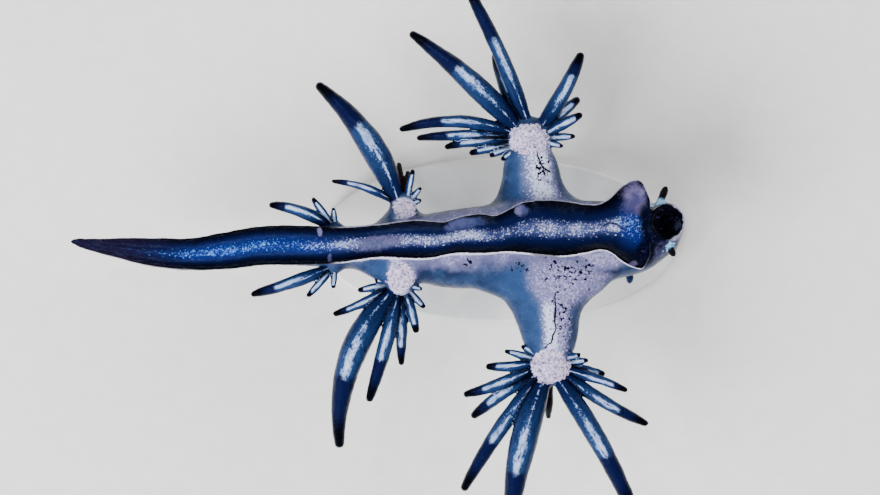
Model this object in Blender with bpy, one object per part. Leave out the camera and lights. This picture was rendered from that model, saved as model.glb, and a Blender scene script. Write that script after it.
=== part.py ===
"""Blue dragon sea slug (Glaucus atlanticus), life size, floating foot side up, on a plain display stand.

Sizes are in millimetres and become metres when a mesh is made. +X runs from tail to head and +Z is up.
The animal floats on its back, so its right side lies at +Y. It rolls a little to that side, which lifts
its left flank. The origin is on the supporting surface, under the middle of the stand's base.
"""

import math

import bmesh
import bpy
import numpy as np
from mathutils import Matrix, Vector

MM = 0.001
GAP = 0.3            # clear space between neighbouring pieces
AXIS_HEIGHT = 9.0    # the trunk's axis above the supporting surface
TAIL_TIP_X = -28.0
SNOUT_X = 12.0
ALONG = np.array((1.0, 0.0, 0.0))
UP = np.array((0.0, 0.0, 1.0))

# Columns: x, y, rise over AXIS_HEIGHT, half width, half depth, roll in degrees.
BODY = (
    (-28.0, -0.10, -0.30, 0.10, 0.10, 0),
    (-26.8, -0.30, -0.45, 0.38, 0.36, 1),
    (-25.0, -0.54, -0.60, 0.66, 0.62, 2),
    (-22.9, -0.81, -0.70, 0.92, 0.84, 4),
    (-20.1, -1.00, -0.75, 0.97, 0.98, 6),
    (-17.8, -0.82, -0.70, 1.08, 1.10, 7),
    (-15.5, -0.51, -0.55, 1.16, 1.20, 8),
    (-12.9, -0.48, -0.40, 1.20, 1.32, 9),
    (-10.4, -0.52, -0.25, 1.34, 1.50, 11),
    (-7.7, -0.52, -0.15, 1.60, 1.65, 17),
    (-6.0, -0.58, -0.05, 1.95, 1.90, 20),
    (-4.2, -0.60, 0.00, 2.45, 2.05, 23),
    (-1.3, -0.50, 0.00, 2.80, 2.20, 25),
    (2.6, -0.10, 0.00, 2.85, 2.25, 25),
    (6.5, -0.05, 0.00, 2.70, 2.10, 24),
    (8.7, 0.10, 0.05, 2.45, 1.90, 20),
    (9.9, 0.30, 0.15, 2.12, 1.75, 18),
    (10.9, 0.72, 0.20, 1.75, 1.55, 15),
    (11.6, 0.80, 0.20, 1.25, 1.25, 14),
    (12.0, 0.88, 0.20, 0.35, 0.50, 14),
)
BODY_SIDES = 26
BODY_STEP = 0.95     # spacing of the cross-sections along the body

# The foot as seen from above. Columns: x, y of its right edge and of its left edge, curl up of each edge.
FOOT = (
    (-28.0, -0.02, -0.18, 0.00, 0.00),
    (-26.8, 0.10, -0.66, 0.02, 0.01),
    (-25.0, 0.13, -1.14, 0.04, 0.02),
    (-22.9, 0.15, -1.66, 0.06, 0.03),
    (-20.1, 0.16, -1.92, 0.08, 0.04),
    (-17.8, 0.55, -1.89, 0.10, 0.05),
    (-15.5, 0.94, -1.63, 0.12, 0.05),
    (-12.9, 0.97, -1.58, 0.14, 0.06),
    (-10.4, 0.91, -1.49, 0.16, 0.08),
    (-7.7, 1.11, -1.15, 0.18, 0.11),
    (-5.5, 1.37, -1.23, 0.18, 0.13),
    (-4.2, 1.30, -1.15, 0.20, 0.14),
    (-2.8, 1.54, -0.88, 0.22, 0.14),
    (-1.3, 1.81, -0.89, 0.22, 0.15),
    (0.4, 2.05, -0.78, 0.22, 0.15),
    (1.3, 2.46, -0.84, 0.24, 0.14),
    (2.6, 2.66, -0.97, 0.24, 0.14),
    (4.2, 2.61, -1.04, 0.26, 0.14),
    (5.6, 2.40, -0.81, 0.28, 0.18),
    (6.5, 2.46, -0.62, 0.34, 0.23),
    (7.1, 2.79, -0.78, 0.44, 0.27),
    (7.9, 3.55, -1.39, 0.60, 0.34),
    (8.7, 3.95, -1.78, 0.66, 0.36),
    (9.2, 3.85, -1.80, 0.60, 0.33),
    (9.75, 2.70, -0.90, 0.30, 0.20),
)
FOOT_BACK_X = -22.2  # behind this the foot is one piece with the tail's tip
FOOT_FRONT_X = 9.75
FOOT_STEP = 0.6      # spacing of the cross-sections along the foot
FOOT_DEPTH = 0.6     # from the sole's middle down to its seat in the trunk
SOLE_GROOVE = 0.16   # how far the sole dips between its ridge and each edge
SOLE_SHARES = (-1.0, -0.86, -0.62, -0.3, 0.0, 0.3, 0.62, 0.86, 1.0)     # places across the sole
SEAT_SHARES = (-0.62, 0.0, 0.62)                                        # those with a point of the seat below
RIM_THICKNESS = 0.5
CHANNEL_HEIGHT = 3.0

HEAD_BACK_X = 9.9
TAIL_LENGTHS = (("tail_tip", TAIL_TIP_X, FOOT_BACK_X), ("tail_middle", FOOT_BACK_X, -16.2),
                ("tail_base", -16.2, -9.8))
TRUNK_LENGTHS = (("trunk_rear", -9.8, -2.4), ("trunk_front", -2.4, 6.9), ("neck", 6.9, HEAD_BACK_X))
FOOT_LENGTHS = (("foot_tail", FOOT_BACK_X, -14.0), ("foot_rear", -14.0, -6.0), ("foot_middle", -6.0, 1.4),
                ("foot_front", 1.4, FOOT_FRONT_X + GAP / 2))

MOUTH_CENTRE = (10.94, 1.15, 10.62)
MOUTH_RADIUS = 0.90
MOUTH_DEPTH = 0.75
MOUTH_TILT = 10      # degrees that the mouth faces forward of straight up
LIP_THICKNESS = 0.28
LIP_SIDES = 8
MOUTH_SEGMENTS = 24

# Root, tip and root width of each feeler. The oral tentacles flank the mouth, the rhinophores the neck.
ORAL_TENTACLES = (
    ((10.25, 1.95, 9.35), (10.84, 3.50, 9.60), 0.64),
    ((10.90, -0.10, 9.90), (11.30, -1.10, 10.40), 0.64),
)
RHINOPHORES = (
    ((8.75, 1.70, 7.70), (8.85, 2.95, 6.80), 0.70),
    ((8.50, -1.60, 8.50), (8.52, -2.88, 7.85), 0.70),
)
# Width of a feeler along its length, as shares of its length and of its root width.
FEELER_GIRTH = ((0.0, 1.0), (0.35, 0.96), (0.6, 0.84), (0.85, 0.74), (0.96, 0.52), (1.0, 0.2))

# Columns: x, y, z, half width, half depth, from a root inside the trunk to the end under the pad.
ARMS = {
    "arm_front_left": (
        (2.60, -0.90, 9.60, 4.30, 1.60), (2.60, -2.60, 10.00, 4.55, 1.60), (2.75, -3.30, 10.12, 3.85, 1.55),
        (3.00, -3.80, 10.16, 2.98, 1.50), (3.02, -4.50, 10.15, 2.38, 1.42), (3.10, -5.25, 10.07, 2.08, 1.32),
        (3.22, -6.25, 9.93, 1.84, 1.20), (3.28, -7.35, 9.80, 1.50, 1.00),
    ),
    "arm_front_right": (
        (2.70, 0.60, 8.50, 3.40, 1.40), (2.60, 1.70, 8.15, 3.40, 1.40), (2.42, 2.40, 8.00, 2.85, 1.38),
        (2.24, 3.10, 7.92, 2.34, 1.32), (2.13, 3.90, 7.90, 1.99, 1.25), (2.05, 4.80, 7.95, 1.80, 1.15),
        (1.97, 5.50, 8.03, 1.62, 1.05), (1.96, 5.95, 8.10, 1.40, 0.95),
    ),
    "arm_middle_left": (
        (-6.75, -1.20, 9.35, 2.95, 1.15), (-6.78, -1.70, 9.45, 2.65, 1.15), (-6.72, -2.10, 9.55, 2.15, 1.10),
        (-6.55, -2.60, 9.65, 1.50, 1.00), (-6.50, -2.95, 9.70, 1.05, 0.80),
    ),
    "arm_middle_right": (
        (-6.35, 0.50, 8.40, 1.90, 1.05), (-6.40, 1.10, 8.30, 1.60, 1.00), (-6.35, 1.65, 8.25, 1.20, 0.90),
        (-6.30, 2.05, 8.20, 0.85, 0.75),
    ),
}
ARM_SIDES = 18
ARM_STEP = 0.55
SET_IN_ARMS = ("arm_middle_left", "arm_middle_right")   # short arms whose roots are let into the trunk

# Each fan of cerata grows round the rim of a pad. cuts are the bearings of the thin cuts that part it, and
# parts names the pieces between them. A ceras has its seat on the rim and its bearing, both in degrees from
# +X towards +Y, its reach, its width, its sideways bow as a share of its reach, and the rise of its tip.
FANS = {
    "front_left": {
        "pad": (3.26, -8.12, 9.80), "radius": 1.38, "depth": 0.95, "arm": "arm_front_left",
        "cuts": (90, 219, 281, 450), "parts": ("hind", "mid", "fore"),
        "cerata": (
            (137, 160, 0.95, 0.50, 0, 0.5), (152, 171, 1.80, 0.58, 0, 0.2),
            (166, 189, 2.90, 0.72, 0.03, 0.4), (184, 204, 4.65, 0.88, 0.03, 0.0),
            (203, 217, 4.80, 0.95, -0.03, -0.5), (230, 236, 8.60, 1.08, -0.03, -0.3),
            (248, 258, 10.4, 1.80, -0.05, 0.7), (267, 270, 2.20, 0.62, 0, -1.6),
            (297, 300, 9.80, 1.33, 0.03, 0.6), (326, 329, 6.10, 0.92, -0.03, -0.2),
            (344, 341, 3.95, 0.70, 0.02, 0.2), (363, 343, 2.35, 0.60, 0.02, -0.3),
            (377, 355, 1.20, 0.52, 0, 0.3), (389, 362, 0.80, 0.50, 0, 0.5),
        ),
    },
    "front_right": {
        "pad": (1.95, 6.63, 8.10), "radius": 1.48, "depth": 0.95, "arm": "arm_front_right",
        "cuts": (-90, 66, 131, 270), "parts": ("fore", "mid", "hind"),
        "cerata": (
            (350, 340, 0.80, 0.50, 0, 0.4), (2, 4, 1.55, 0.55, 0, 0.0), (13, 32, 2.40, 0.76, 0, 0.5),
            (24, 47, 2.85, 0.80, 0.02, -0.8), (42, 63, 5.20, 1.12, -0.04, 0.4),
            (90, 116, 9.60, 1.05, -0.02, 1.2), (116, 111, 4.60, 1.10, 0.02, -0.7),
            (146, 137, 9.00, 1.54, -0.03, 0.5), (165, 178, 7.10, 0.88, -0.10, 0.3),
            (178, 180, 5.90, 0.78, -0.03, 0.0), (190, 184, 4.10, 0.72, -0.04, 0.2),
            (200, 190, 2.60, 0.60, 0, 0.3), (209, 197, 1.40, 0.55, 0, 0.4), (219, 215, 0.85, 0.50, 0, 0.5),
        ),
    },
    "middle_left": {
        "pad": (-6.50, -2.75, 9.70), "radius": 0.96, "depth": 0.75, "arm": "arm_middle_left",
        "cuts": (72, 252, 432), "parts": ("hind", "fore"),
        "cerata": (
            (178, 172, 0.70, 0.50, 0, 0.3), (193, 190, 1.85, 0.60, 0, 0.0),
            (206, 206, 3.85, 0.68, 0.04, 0.3), (232, 251, 10.6, 1.78, -0.11, -0.4),
            (266, 254, 7.10, 1.02, 0.01, 0.3), (285, 268, 4.50, 0.86, 0, -0.2),
            (301, 284, 2.55, 0.72, 0.03, 0.2), (320, 310, 1.40, 0.55, 0, 0.0),
            (338, 350, 0.60, 0.50, 0, 0.3),
        ),
    },
    "middle_right": {
        "pad": (-6.34, 2.30, 8.20), "radius": 0.82, "depth": 0.65, "arm": "arm_middle_right",
        "cuts": (-72, 108, 288), "parts": ("fore", "hind"),
        "cerata": (
            (0, 38, 0.55, 0.50, 0, 0.3), (20, 62, 1.00, 0.50, 0, 0.2), (45, 86, 1.75, 0.50, 0, 0.6),
            (68, 88, 1.50, 0.50, 0, -0.4), (88, 98, 2.00, 0.52, 0, -0.9),
            (146, 123, 9.00, 1.75, -0.07, -0.2), (167, 160, 4.10, 0.56, -0.07, 0.5),
        ),
    },
    "rear_left": {
        "pad": (-10.75, -1.70, 9.20), "radius": 0.50, "depth": 0.45, "arm": None,
        "cuts": (), "parts": ("",),
        "cerata": (
            (200, 199, 5.30, 0.86, 0.02, -0.3), (235, 227, 2.20, 0.54, 0, 0.2),
            (275, 262, 1.00, 0.50, 0, 0.3),
        ),
    },
    "rear_right": {
        "pad": (-10.75, 0.75, 8.70), "radius": 0.50, "depth": 0.45, "arm": None,
        "cuts": (), "parts": ("",),
        "cerata": (
            (165, 159, 4.10, 0.86, -0.07, 0.2), (125, 127, 2.00, 0.54, 0, 0.3),
            (88, 98, 0.90, 0.50, 0, 0.2),
        ),
    },
}
ROOT_DEPTH = 0.45    # where a ceras starts inside its pad, as a share of the pad's radius
ARCH = 0.05          # how far a ceras arches upwards, as a share of its reach
PAD_ROOM = 2.2       # how far out the cuts that part a fan reach, in pad radii
PAD_SEGMENTS = 20
# Width of a ceras along its length, as shares of its reach and of its width.
SHORT_GIRTH = ((0.0, 0.50), (0.25, 0.90), (0.55, 1.00), (0.82, 0.86), (0.94, 0.60), (1.0, 0.22))
LONG_GIRTH = ((0.0, 0.45), (0.12, 0.72), (0.28, 0.97), (0.42, 1.00), (0.60, 0.84), (0.78, 0.62), (0.92, 0.46),
              (0.98, 0.32), (1.0, 0.12))
LONG_REACH = 3.5     # a ceras with more reach than this has the long shape
CERAS_SIDES = 8
BODY_ROOM = (-14.0, 10.5)    # the stretch of body that arms, fans and rods are cut clear of

BASE_LENGTH = 24.0
BASE_WIDTH = 11.0
BASE_THICKNESS = 1.5
BASE_BEVEL = 0.25
BASE_SIDES = 56
ROD_RADIUS = 0.5
ROD_SIDES = 16
RODS = {"stand_rod_rear": (-5.0, -0.4), "stand_rod_front": (5.2, -0.1)}

# Colour, roughness and metallic value of each finish.
FINISHES = {
    "sole": ((0.012, 0.035, 0.170), 0.30, 0.0),
    "skin": ((0.420, 0.500, 0.640), 0.38, 0.0),
    "cerata": ((0.050, 0.110, 0.300), 0.32, 0.0),
    "stand_base": ((0.620, 0.620, 0.610), 0.50, 0.0),
    "stand_rods": ((0.600, 0.610, 0.620), 0.25, 1.0),
}
CREASE = math.radians(40)


def smooth(rows, x):
    """Every column's value at x, on a smooth curve through the rows, whose first column is x."""
    table = np.array(rows, float)
    keys = table[:, 0]
    slopes = np.gradient(table, keys, axis=0)
    i = int(np.clip(np.searchsorted(keys, x) - 1, 0, len(keys) - 2))
    width = keys[i + 1] - keys[i]
    t = min(max((x - keys[i]) / width, 0.0), 1.0)
    start = table[i] * (1 + 2 * t) * (1 - t) ** 2 + slopes[i] * width * t * (1 - t) ** 2
    end = table[i + 1] * t * t * (3 - 2 * t) + slopes[i + 1] * width * t * t * (t - 1)
    return (start + end)[1:]


def unit(vector):
    return vector / np.linalg.norm(vector)


def bearing(degrees):
    return np.array((math.cos(math.radians(degrees)), math.sin(math.radians(degrees)), 0.0))


def oval(centre, side, up, half_width, half_depth, count):
    """Points round an oval section."""
    turns = np.linspace(0, 2 * math.pi, count, endpoint=False)
    return [centre + side * math.cos(t) * half_width + up * math.sin(t) * half_depth for t in turns]


def finish_material(node, finish):
    material = bpy.data.materials.new(node + "_" + finish)
    material.use_nodes = True
    shader = material.node_tree.nodes["Principled BSDF"]
    colour, roughness, metallic = FINISHES[finish]
    shader.inputs["Base Color"].default_value = (*colour, 1.0)
    shader.inputs["Roughness"].default_value = roughness
    shader.inputs["Metallic"].default_value = metallic
    return material


def to_object(name, sculpt):
    """Turns a bmesh in millimetres into an object in metres, its faces outwards."""
    bmesh.ops.recalc_face_normals(sculpt, faces=sculpt.faces)
    bmesh.ops.scale(sculpt, vec=(MM, MM, MM), verts=sculpt.verts)
    mesh = bpy.data.meshes.new(name)
    sculpt.to_mesh(mesh)
    sculpt.free()
    mesh.shade_smooth()
    mesh.set_sharp_from_angle(angle=CREASE)
    obj = bpy.data.objects.new(name, mesh)
    bpy.context.scene.collection.objects.link(obj)
    return obj


def sweep(name, rings):
    """A closed solid bridged through rings of points, all of one length."""
    sculpt = bmesh.new()
    loops = []
    for ring in rings:
        verts = [sculpt.verts.new(point) for point in ring]
        loops.append([sculpt.edges.new(pair) for pair in zip(verts, verts[1:] + verts[:1])])
    for near, far in zip(loops, loops[1:]):
        bmesh.ops.bridge_loops(sculpt, edges=near + far)
    bmesh.ops.holes_fill(sculpt, edges=[edge for edge in sculpt.edges if edge.is_boundary])
    bmesh.ops.triangulate(sculpt, faces=sculpt.faces)
    return to_object(name, sculpt)


def cushion(name, centre, radii):
    """A flattened ball."""
    sculpt = bmesh.new()
    bmesh.ops.create_uvsphere(sculpt, u_segments=PAD_SEGMENTS, v_segments=8, radius=1.0)
    bmesh.ops.scale(sculpt, vec=radii, verts=sculpt.verts)
    bmesh.ops.translate(sculpt, vec=centre, verts=sculpt.verts)
    return to_object(name, sculpt)


def keep_largest(obj):
    """Drops every loose shell of a mesh but the one that holds most."""
    sculpt = bmesh.new()
    sculpt.from_mesh(obj.data)
    left, shells = set(sculpt.faces), []
    while left:
        front = [left.pop()]
        shell = list(front)
        while front:
            near = {other for edge in front.pop().edges for other in edge.link_faces} & left
            left -= near
            front.extend(near)
            shell.extend(near)
        shells.append(shell)
    if len(shells) > 1:
        volumes = [
            sum(face.calc_area() * face.normal.dot(face.calc_center_median()) for face in shell)
            for shell in shells
        ]
        best = volumes.index(max(volumes))
        extra = [face for i, shell in enumerate(shells) if i != best for face in shell]
        bmesh.ops.delete(sculpt, geom=extra, context="FACES")
        sculpt.to_mesh(obj.data)
    sculpt.free()


def combine(obj, tools, operation):
    """Applies one Boolean of an object with a collection of solids, and removes those solids."""
    group = bpy.data.collections.new(obj.name + "_tools")
    bpy.context.scene.collection.children.link(group)
    for tool in tools:
        group.objects.link(tool)
        bpy.context.scene.collection.objects.unlink(tool)
        tool.hide_render = True
        tool.display_type = "WIRE"
    modifier = obj.modifiers.new(operation.lower(), "BOOLEAN")
    modifier.operation = operation
    modifier.operand_type = "COLLECTION"
    modifier.collection = group
    modifier.solver = "EXACT"
    graph = bpy.context.evaluated_depsgraph_get()
    graph.update()
    solid = bpy.data.meshes.new_from_object(obj.evaluated_get(graph))
    obj.modifiers.clear()
    obj.data = solid
    for tool in tools:
        bpy.data.objects.remove(tool)
    bpy.data.collections.remove(group)
    keep_largest(obj)
    return obj


def settle(obj, parent, origin, finish):
    """Gives a finished piece its origin, its parent and its own material."""
    origin = Vector(origin) * MM
    obj.data.transform(Matrix.Translation(-origin))
    obj.location = origin
    obj.parent = parent
    obj.data.materials.clear()
    obj.data.materials.append(finish_material(obj.name, finish))


def body_frame(x):
    """The body's centre, the ways across to its right and out of its sole, and its two half sizes."""
    y, rise, half_width, half_depth, roll = smooth(BODY, x)
    angle = math.radians(roll)
    centre = np.array((x, y, AXIS_HEIGHT + rise))
    across = np.array((0.0, math.cos(angle), -math.sin(angle)))
    outward = np.array((0.0, math.sin(angle), math.cos(angle)))
    return centre, across, outward, half_width, half_depth


def stations(start, end, step=BODY_STEP):
    """Places of the cross-sections from start to end, closer together where the snout rounds off."""
    if start >= HEAD_BACK_X:
        return start + (end - start) * np.sin(np.linspace(0, math.pi / 2, 7))
    return np.linspace(start, end, max(3, round((end - start) / step) + 1))


def body_length(name, start, end, grow=0.0):
    """A length of the body, or the room that it needs where grow is the gap."""
    rings = []
    for x in stations(start, end):
        centre, across, outward, half_width, half_depth = body_frame(x)
        rings.append(oval(centre, across, outward, half_width + grow, half_depth + grow, BODY_SIDES))
    return sweep(name, rings)


def body_room():
    return body_length("body_room", *BODY_ROOM, GAP)


def foot_section(x):
    """How far the foot reaches to each side along the body's width there, and how far its edges curl up."""
    centre, across, outward, _, half_depth = body_frame(x)
    right_y, left_y, right_curl, left_curl = smooth(FOOT, x)
    right = (right_y - centre[1] - outward[1] * (half_depth + right_curl)) / across[1]
    left = (left_y - centre[1] - outward[1] * (half_depth + left_curl)) / across[1]
    return right, left, right_curl, left_curl


def foot_length(name, start, end):
    """A length of foot: a low ridge between two grooves on top, and an edge that curls up at each side."""
    rings = []
    for x in stations(start, end, FOOT_STEP):
        centre, across, outward, _, half_depth = body_frame(x)
        right, left, right_curl, left_curl = foot_section(x)
        middle = (right + left) / 2
        top, under = [], []
        for share in SOLE_SHARES:
            curl = right_curl if share > 0 else left_curl
            edge = share ** 4 * curl
            groove = SOLE_GROOVE * math.sin(math.pi * min(1.0, abs(share) / 0.9)) ** 2
            reach = middle + share * (right - left) / 2
            top.append(centre + across * reach + outward * (half_depth + edge - groove))
            if abs(share) == 1.0:
                under.append(centre + across * reach + outward * (half_depth + edge - RIM_THICKNESS))
            elif share in SEAT_SHARES:
                under.append(centre + across * reach + outward * (half_depth - FOOT_DEPTH))
        rings.append(top + under[::-1])
    return sweep(name, rings)


def foot_channel(start, end):
    """The room that the foot takes out of whatever lies under and beside it."""
    rings = []
    for x in stations(start, end, FOOT_STEP):
        centre, across, outward, _, half_depth = body_frame(x)
        right, left, _, _ = foot_section(x)
        floor = half_depth - FOOT_DEPTH - GAP
        top = half_depth + CHANNEL_HEIGHT
        corners = ((left - GAP, top), (left - GAP, floor), (right + GAP, floor), (right + GAP, top))
        rings.append([centre + across * b + outward * n for b, n in corners])
    return sweep("foot_channel", rings)


def arm_length(name, arm, grow=0.0):
    """A stalk with oval sections across its way out, or the room that it needs where grow is the gap."""
    rows = np.array(ARMS[arm], float)
    steps = np.linalg.norm(np.diff(rows[:, :3], axis=0), axis=1)
    table = np.column_stack([np.concatenate([[0.0], np.cumsum(steps)]), rows])
    total = table[-1, 0]
    rings = []
    for place in np.linspace(0, total, round(total / ARM_STEP) + 1):
        x, y, z, half_width, half_depth = smooth(table, place)
        ahead = math.copysign(grow, y) if place == total else 0.0
        centre = np.array((x, y + ahead, z))
        rings.append(oval(centre, ALONG, UP, half_width + grow, half_depth + grow, ARM_SIDES))
    return sweep(name, rings)


def feeler(root, tip, width):
    """A short blunt feeler, thick at its root."""
    root, tip = np.array(root), np.array(tip)
    side = unit(np.cross(tip - root, UP))
    up = unit(np.cross(side, tip - root))
    rings = [
        oval(root + (tip - root) * share, side, up, width / 2 * size, width / 2 * size, 10)
        for share, size in FEELER_GIRTH
    ]
    return sweep("feeler", rings)


def ceras(fan, row):
    """One finger: a round tapered tube along a bowed, arching path, with its root inside the pad."""
    seat, heading, reach, width, bow, rise = row
    girth = LONG_GIRTH if reach > LONG_REACH else SHORT_GIRTH
    pad = np.array(fan["pad"])
    root = pad + bearing(seat) * fan["radius"] * ROOT_DEPTH
    tip = pad + bearing(seat) * fan["radius"] + bearing(heading) * reach + UP * rise
    side = unit(np.cross(UP, tip - root))
    middle = (root + tip) / 2 + side * 2 * bow * reach + UP * 2 * ARCH * reach
    rings = []
    for share, size in girth:
        centre = root * (1 - share) ** 2 + middle * 2 * share * (1 - share) + tip * share ** 2
        forward = unit((middle - root) * (1 - share) + (tip - middle) * share)
        across = unit(np.cross(forward, UP))
        radius = width / 2 * size
        rings.append(oval(centre, across, np.cross(across, forward), radius, radius, CERAS_SIDES))
    return sweep("ceras", rings)


def far_side(fan, outward_turn):
    """A block that takes the half of a pad on the side that outward_turn faces, and half of the gap."""
    reach = fan["radius"] * PAD_ROOM
    sculpt = bmesh.new()
    bmesh.ops.create_cube(sculpt, size=2 * reach)
    bmesh.ops.translate(sculpt, vec=(0, reach - GAP / 2, 0), verts=sculpt.verts)
    turned = Matrix.Rotation(math.radians(outward_turn - 90), 4, "Z")
    bmesh.ops.transform(sculpt, matrix=Matrix.Translation(fan["pad"]) @ turned, verts=sculpt.verts)
    return to_object("far_side", sculpt)


def rows_between(fan, sector):
    """The cerata whose seats lie in a sector of the pad's rim."""
    if sector is None:
        return fan["cerata"]
    low, high = sector
    return [row for row in fan["cerata"] if low <= row[0] < high or low <= row[0] - 360 < high]


def build_fan(name, parent):
    """The pieces of one fan, parted by thin cuts and cut clear of the arm and the body."""
    fan = FANS[name]
    sectors = list(zip(fan["cuts"], fan["cuts"][1:])) or [None]
    for part, sector in zip(fan["parts"], sectors):
        node = "_".join(word for word in ("cerata", name, part) if word)
        solid = cushion(node, fan["pad"], (fan["radius"], fan["radius"], fan["depth"]))
        combine(solid, [ceras(fan, row) for row in rows_between(fan, sector)], "UNION")
        rooms = [body_room()]
        if fan["arm"]:
            rooms.append(arm_length("arm_room", fan["arm"], GAP))
        if sector:
            rooms.append(far_side(fan, sector[0] - 90))
            rooms.append(far_side(fan, sector[1] + 90))
        combine(solid, rooms, "DIFFERENCE")
        settle(solid, parent, fan["pad"], "cerata")


def build_body(parent):
    """Tail and trunk, and the foot let into them. The tail's tip is all foot, so it has the sole's finish."""
    for name, start, end in TAIL_LENGTHS + TRUNK_LENGTHS:
        near = start if start == TAIL_TIP_X else start + GAP / 2
        length = body_length(name, near, end - GAP / 2)
        if name == "neck":
            combine(length, [feeler(*row) for row in RHINOPHORES], "UNION")
        rooms = []
        if name != "tail_tip":
            rooms.append(foot_channel(FOOT_BACK_X - GAP, FOOT_FRONT_X + GAP))
        if name == "trunk_rear":
            rooms += [arm_length("arm_room", arm, GAP) for arm in SET_IN_ARMS]
        if rooms:
            combine(length, rooms, "DIFFERENCE")
        settle(length, parent, body_frame(start)[0], "skin" if rooms else "sole")
    for name, start, end in FOOT_LENGTHS:
        length = foot_length(name, start + GAP / 2, end - GAP / 2)
        settle(length, parent, body_frame(start)[0], "sole")


def mouth_matrix():
    return Matrix.Translation(MOUTH_CENTRE) @ Matrix.Rotation(math.radians(MOUTH_TILT), 4, "Y")


def lip_ring():
    """The rounded lip round the mouth, spun from a small circle."""
    sculpt = bmesh.new()
    made = bmesh.ops.create_circle(sculpt, segments=LIP_SIDES, radius=LIP_THICKNESS / 2)
    upright = Matrix.Translation((MOUTH_RADIUS, 0, 0)) @ Matrix.Rotation(math.pi / 2, 4, "X")
    bmesh.ops.transform(sculpt, matrix=upright, verts=made["verts"])
    bmesh.ops.spin(sculpt, geom=sculpt.verts[:] + sculpt.edges[:], axis=(0, 0, 1), cent=(0, 0, 0),
                   angle=2 * math.pi, steps=MOUTH_SEGMENTS, use_merge=True)
    bmesh.ops.transform(sculpt, matrix=mouth_matrix(), verts=sculpt.verts)
    return to_object("lip_ring", sculpt)


def mouth_bowl():
    """The round pit inside the lip."""
    sculpt = bmesh.new()
    bmesh.ops.create_uvsphere(sculpt, u_segments=MOUTH_SEGMENTS, v_segments=10, radius=MOUTH_RADIUS)
    bmesh.ops.scale(sculpt, vec=(1, 1, MOUTH_DEPTH / MOUTH_RADIUS), verts=sculpt.verts)
    bmesh.ops.transform(sculpt, matrix=mouth_matrix(), verts=sculpt.verts)
    return to_object("mouth_bowl", sculpt)


def build_head(parent):
    """The head with its lip, its mouth and the oral tentacles, kept clear of the neck and the foot."""
    head = body_length("head", HEAD_BACK_X + GAP / 2, SNOUT_X)
    combine(head, [lip_ring()] + [feeler(*row) for row in ORAL_TENTACLES], "UNION")
    behind = body_length("neck_room", HEAD_BACK_X - 2, HEAD_BACK_X + GAP / 2, 3 * GAP)
    combine(head, [mouth_bowl(), behind], "DIFFERENCE")
    settle(head, parent, body_frame(HEAD_BACK_X)[0], "skin")


def build_arms(parent):
    for name, rows in ARMS.items():
        arm = arm_length(name, name)
        rooms = [foot_channel(BODY_ROOM[0], FOOT_FRONT_X)]
        if name not in SET_IN_ARMS:
            rooms.append(body_room())
        combine(arm, rooms, "DIFFERENCE")
        settle(arm, parent, rows[0][:3], "skin")


def build_stand(parent):
    sculpt = bmesh.new()
    bmesh.ops.create_cone(sculpt, cap_ends=True, segments=BASE_SIDES, radius1=0.5, radius2=0.5,
                          depth=BASE_THICKNESS)
    bmesh.ops.scale(sculpt, vec=(BASE_LENGTH, BASE_WIDTH, 1), verts=sculpt.verts)
    bmesh.ops.translate(sculpt, vec=(0, 0, BASE_THICKNESS / 2), verts=sculpt.verts)
    base = to_object("stand_base", sculpt)
    bevel = base.modifiers.new("rounded_edge", "BEVEL")
    bevel.width = BASE_BEVEL * MM
    bevel.segments = 2
    bevel.limit_method = "ANGLE"
    settle(base, parent, (0, 0, 0), "stand_base")
    for name, (x, y) in RODS.items():
        seat = BASE_THICKNESS + GAP
        sculpt = bmesh.new()
        bmesh.ops.create_cone(sculpt, cap_ends=True, segments=ROD_SIDES, radius1=ROD_RADIUS,
                              radius2=ROD_RADIUS, depth=AXIS_HEIGHT - seat)
        bmesh.ops.translate(sculpt, vec=(x, y, (AXIS_HEIGHT + seat) / 2), verts=sculpt.verts)
        rod = to_object(name, sculpt)
        combine(rod, [body_room()], "DIFFERENCE")
        settle(rod, parent, (x, y, seat), "stand_rods")


def group_empty(name):
    empty = bpy.data.objects.new(name, None)
    bpy.context.scene.collection.objects.link(empty)
    return empty


def main():
    for obj in list(bpy.data.objects):
        bpy.data.objects.remove(obj)
    animal = group_empty("animal")
    build_body(animal)
    build_head(animal)
    build_arms(animal)
    for name in FANS:
        build_fan(name, animal)
    build_stand(group_empty("stand"))


main()
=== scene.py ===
# %% [markdown]
# # A blue dragon sea slug, life size
# This little sea slug drifts at the surface of the open ocean on its back, so the side that faces us is its
# dark blue foot, and the pale flanks, the stubby arms and the fans of blue fingers show around it.
# We load the finished solids first, because they say how large everything is and where it lies.

# %% Load the solids
import math

import bmesh
import bpy
import numpy as np
import openvdb
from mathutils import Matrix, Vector, noise


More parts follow.
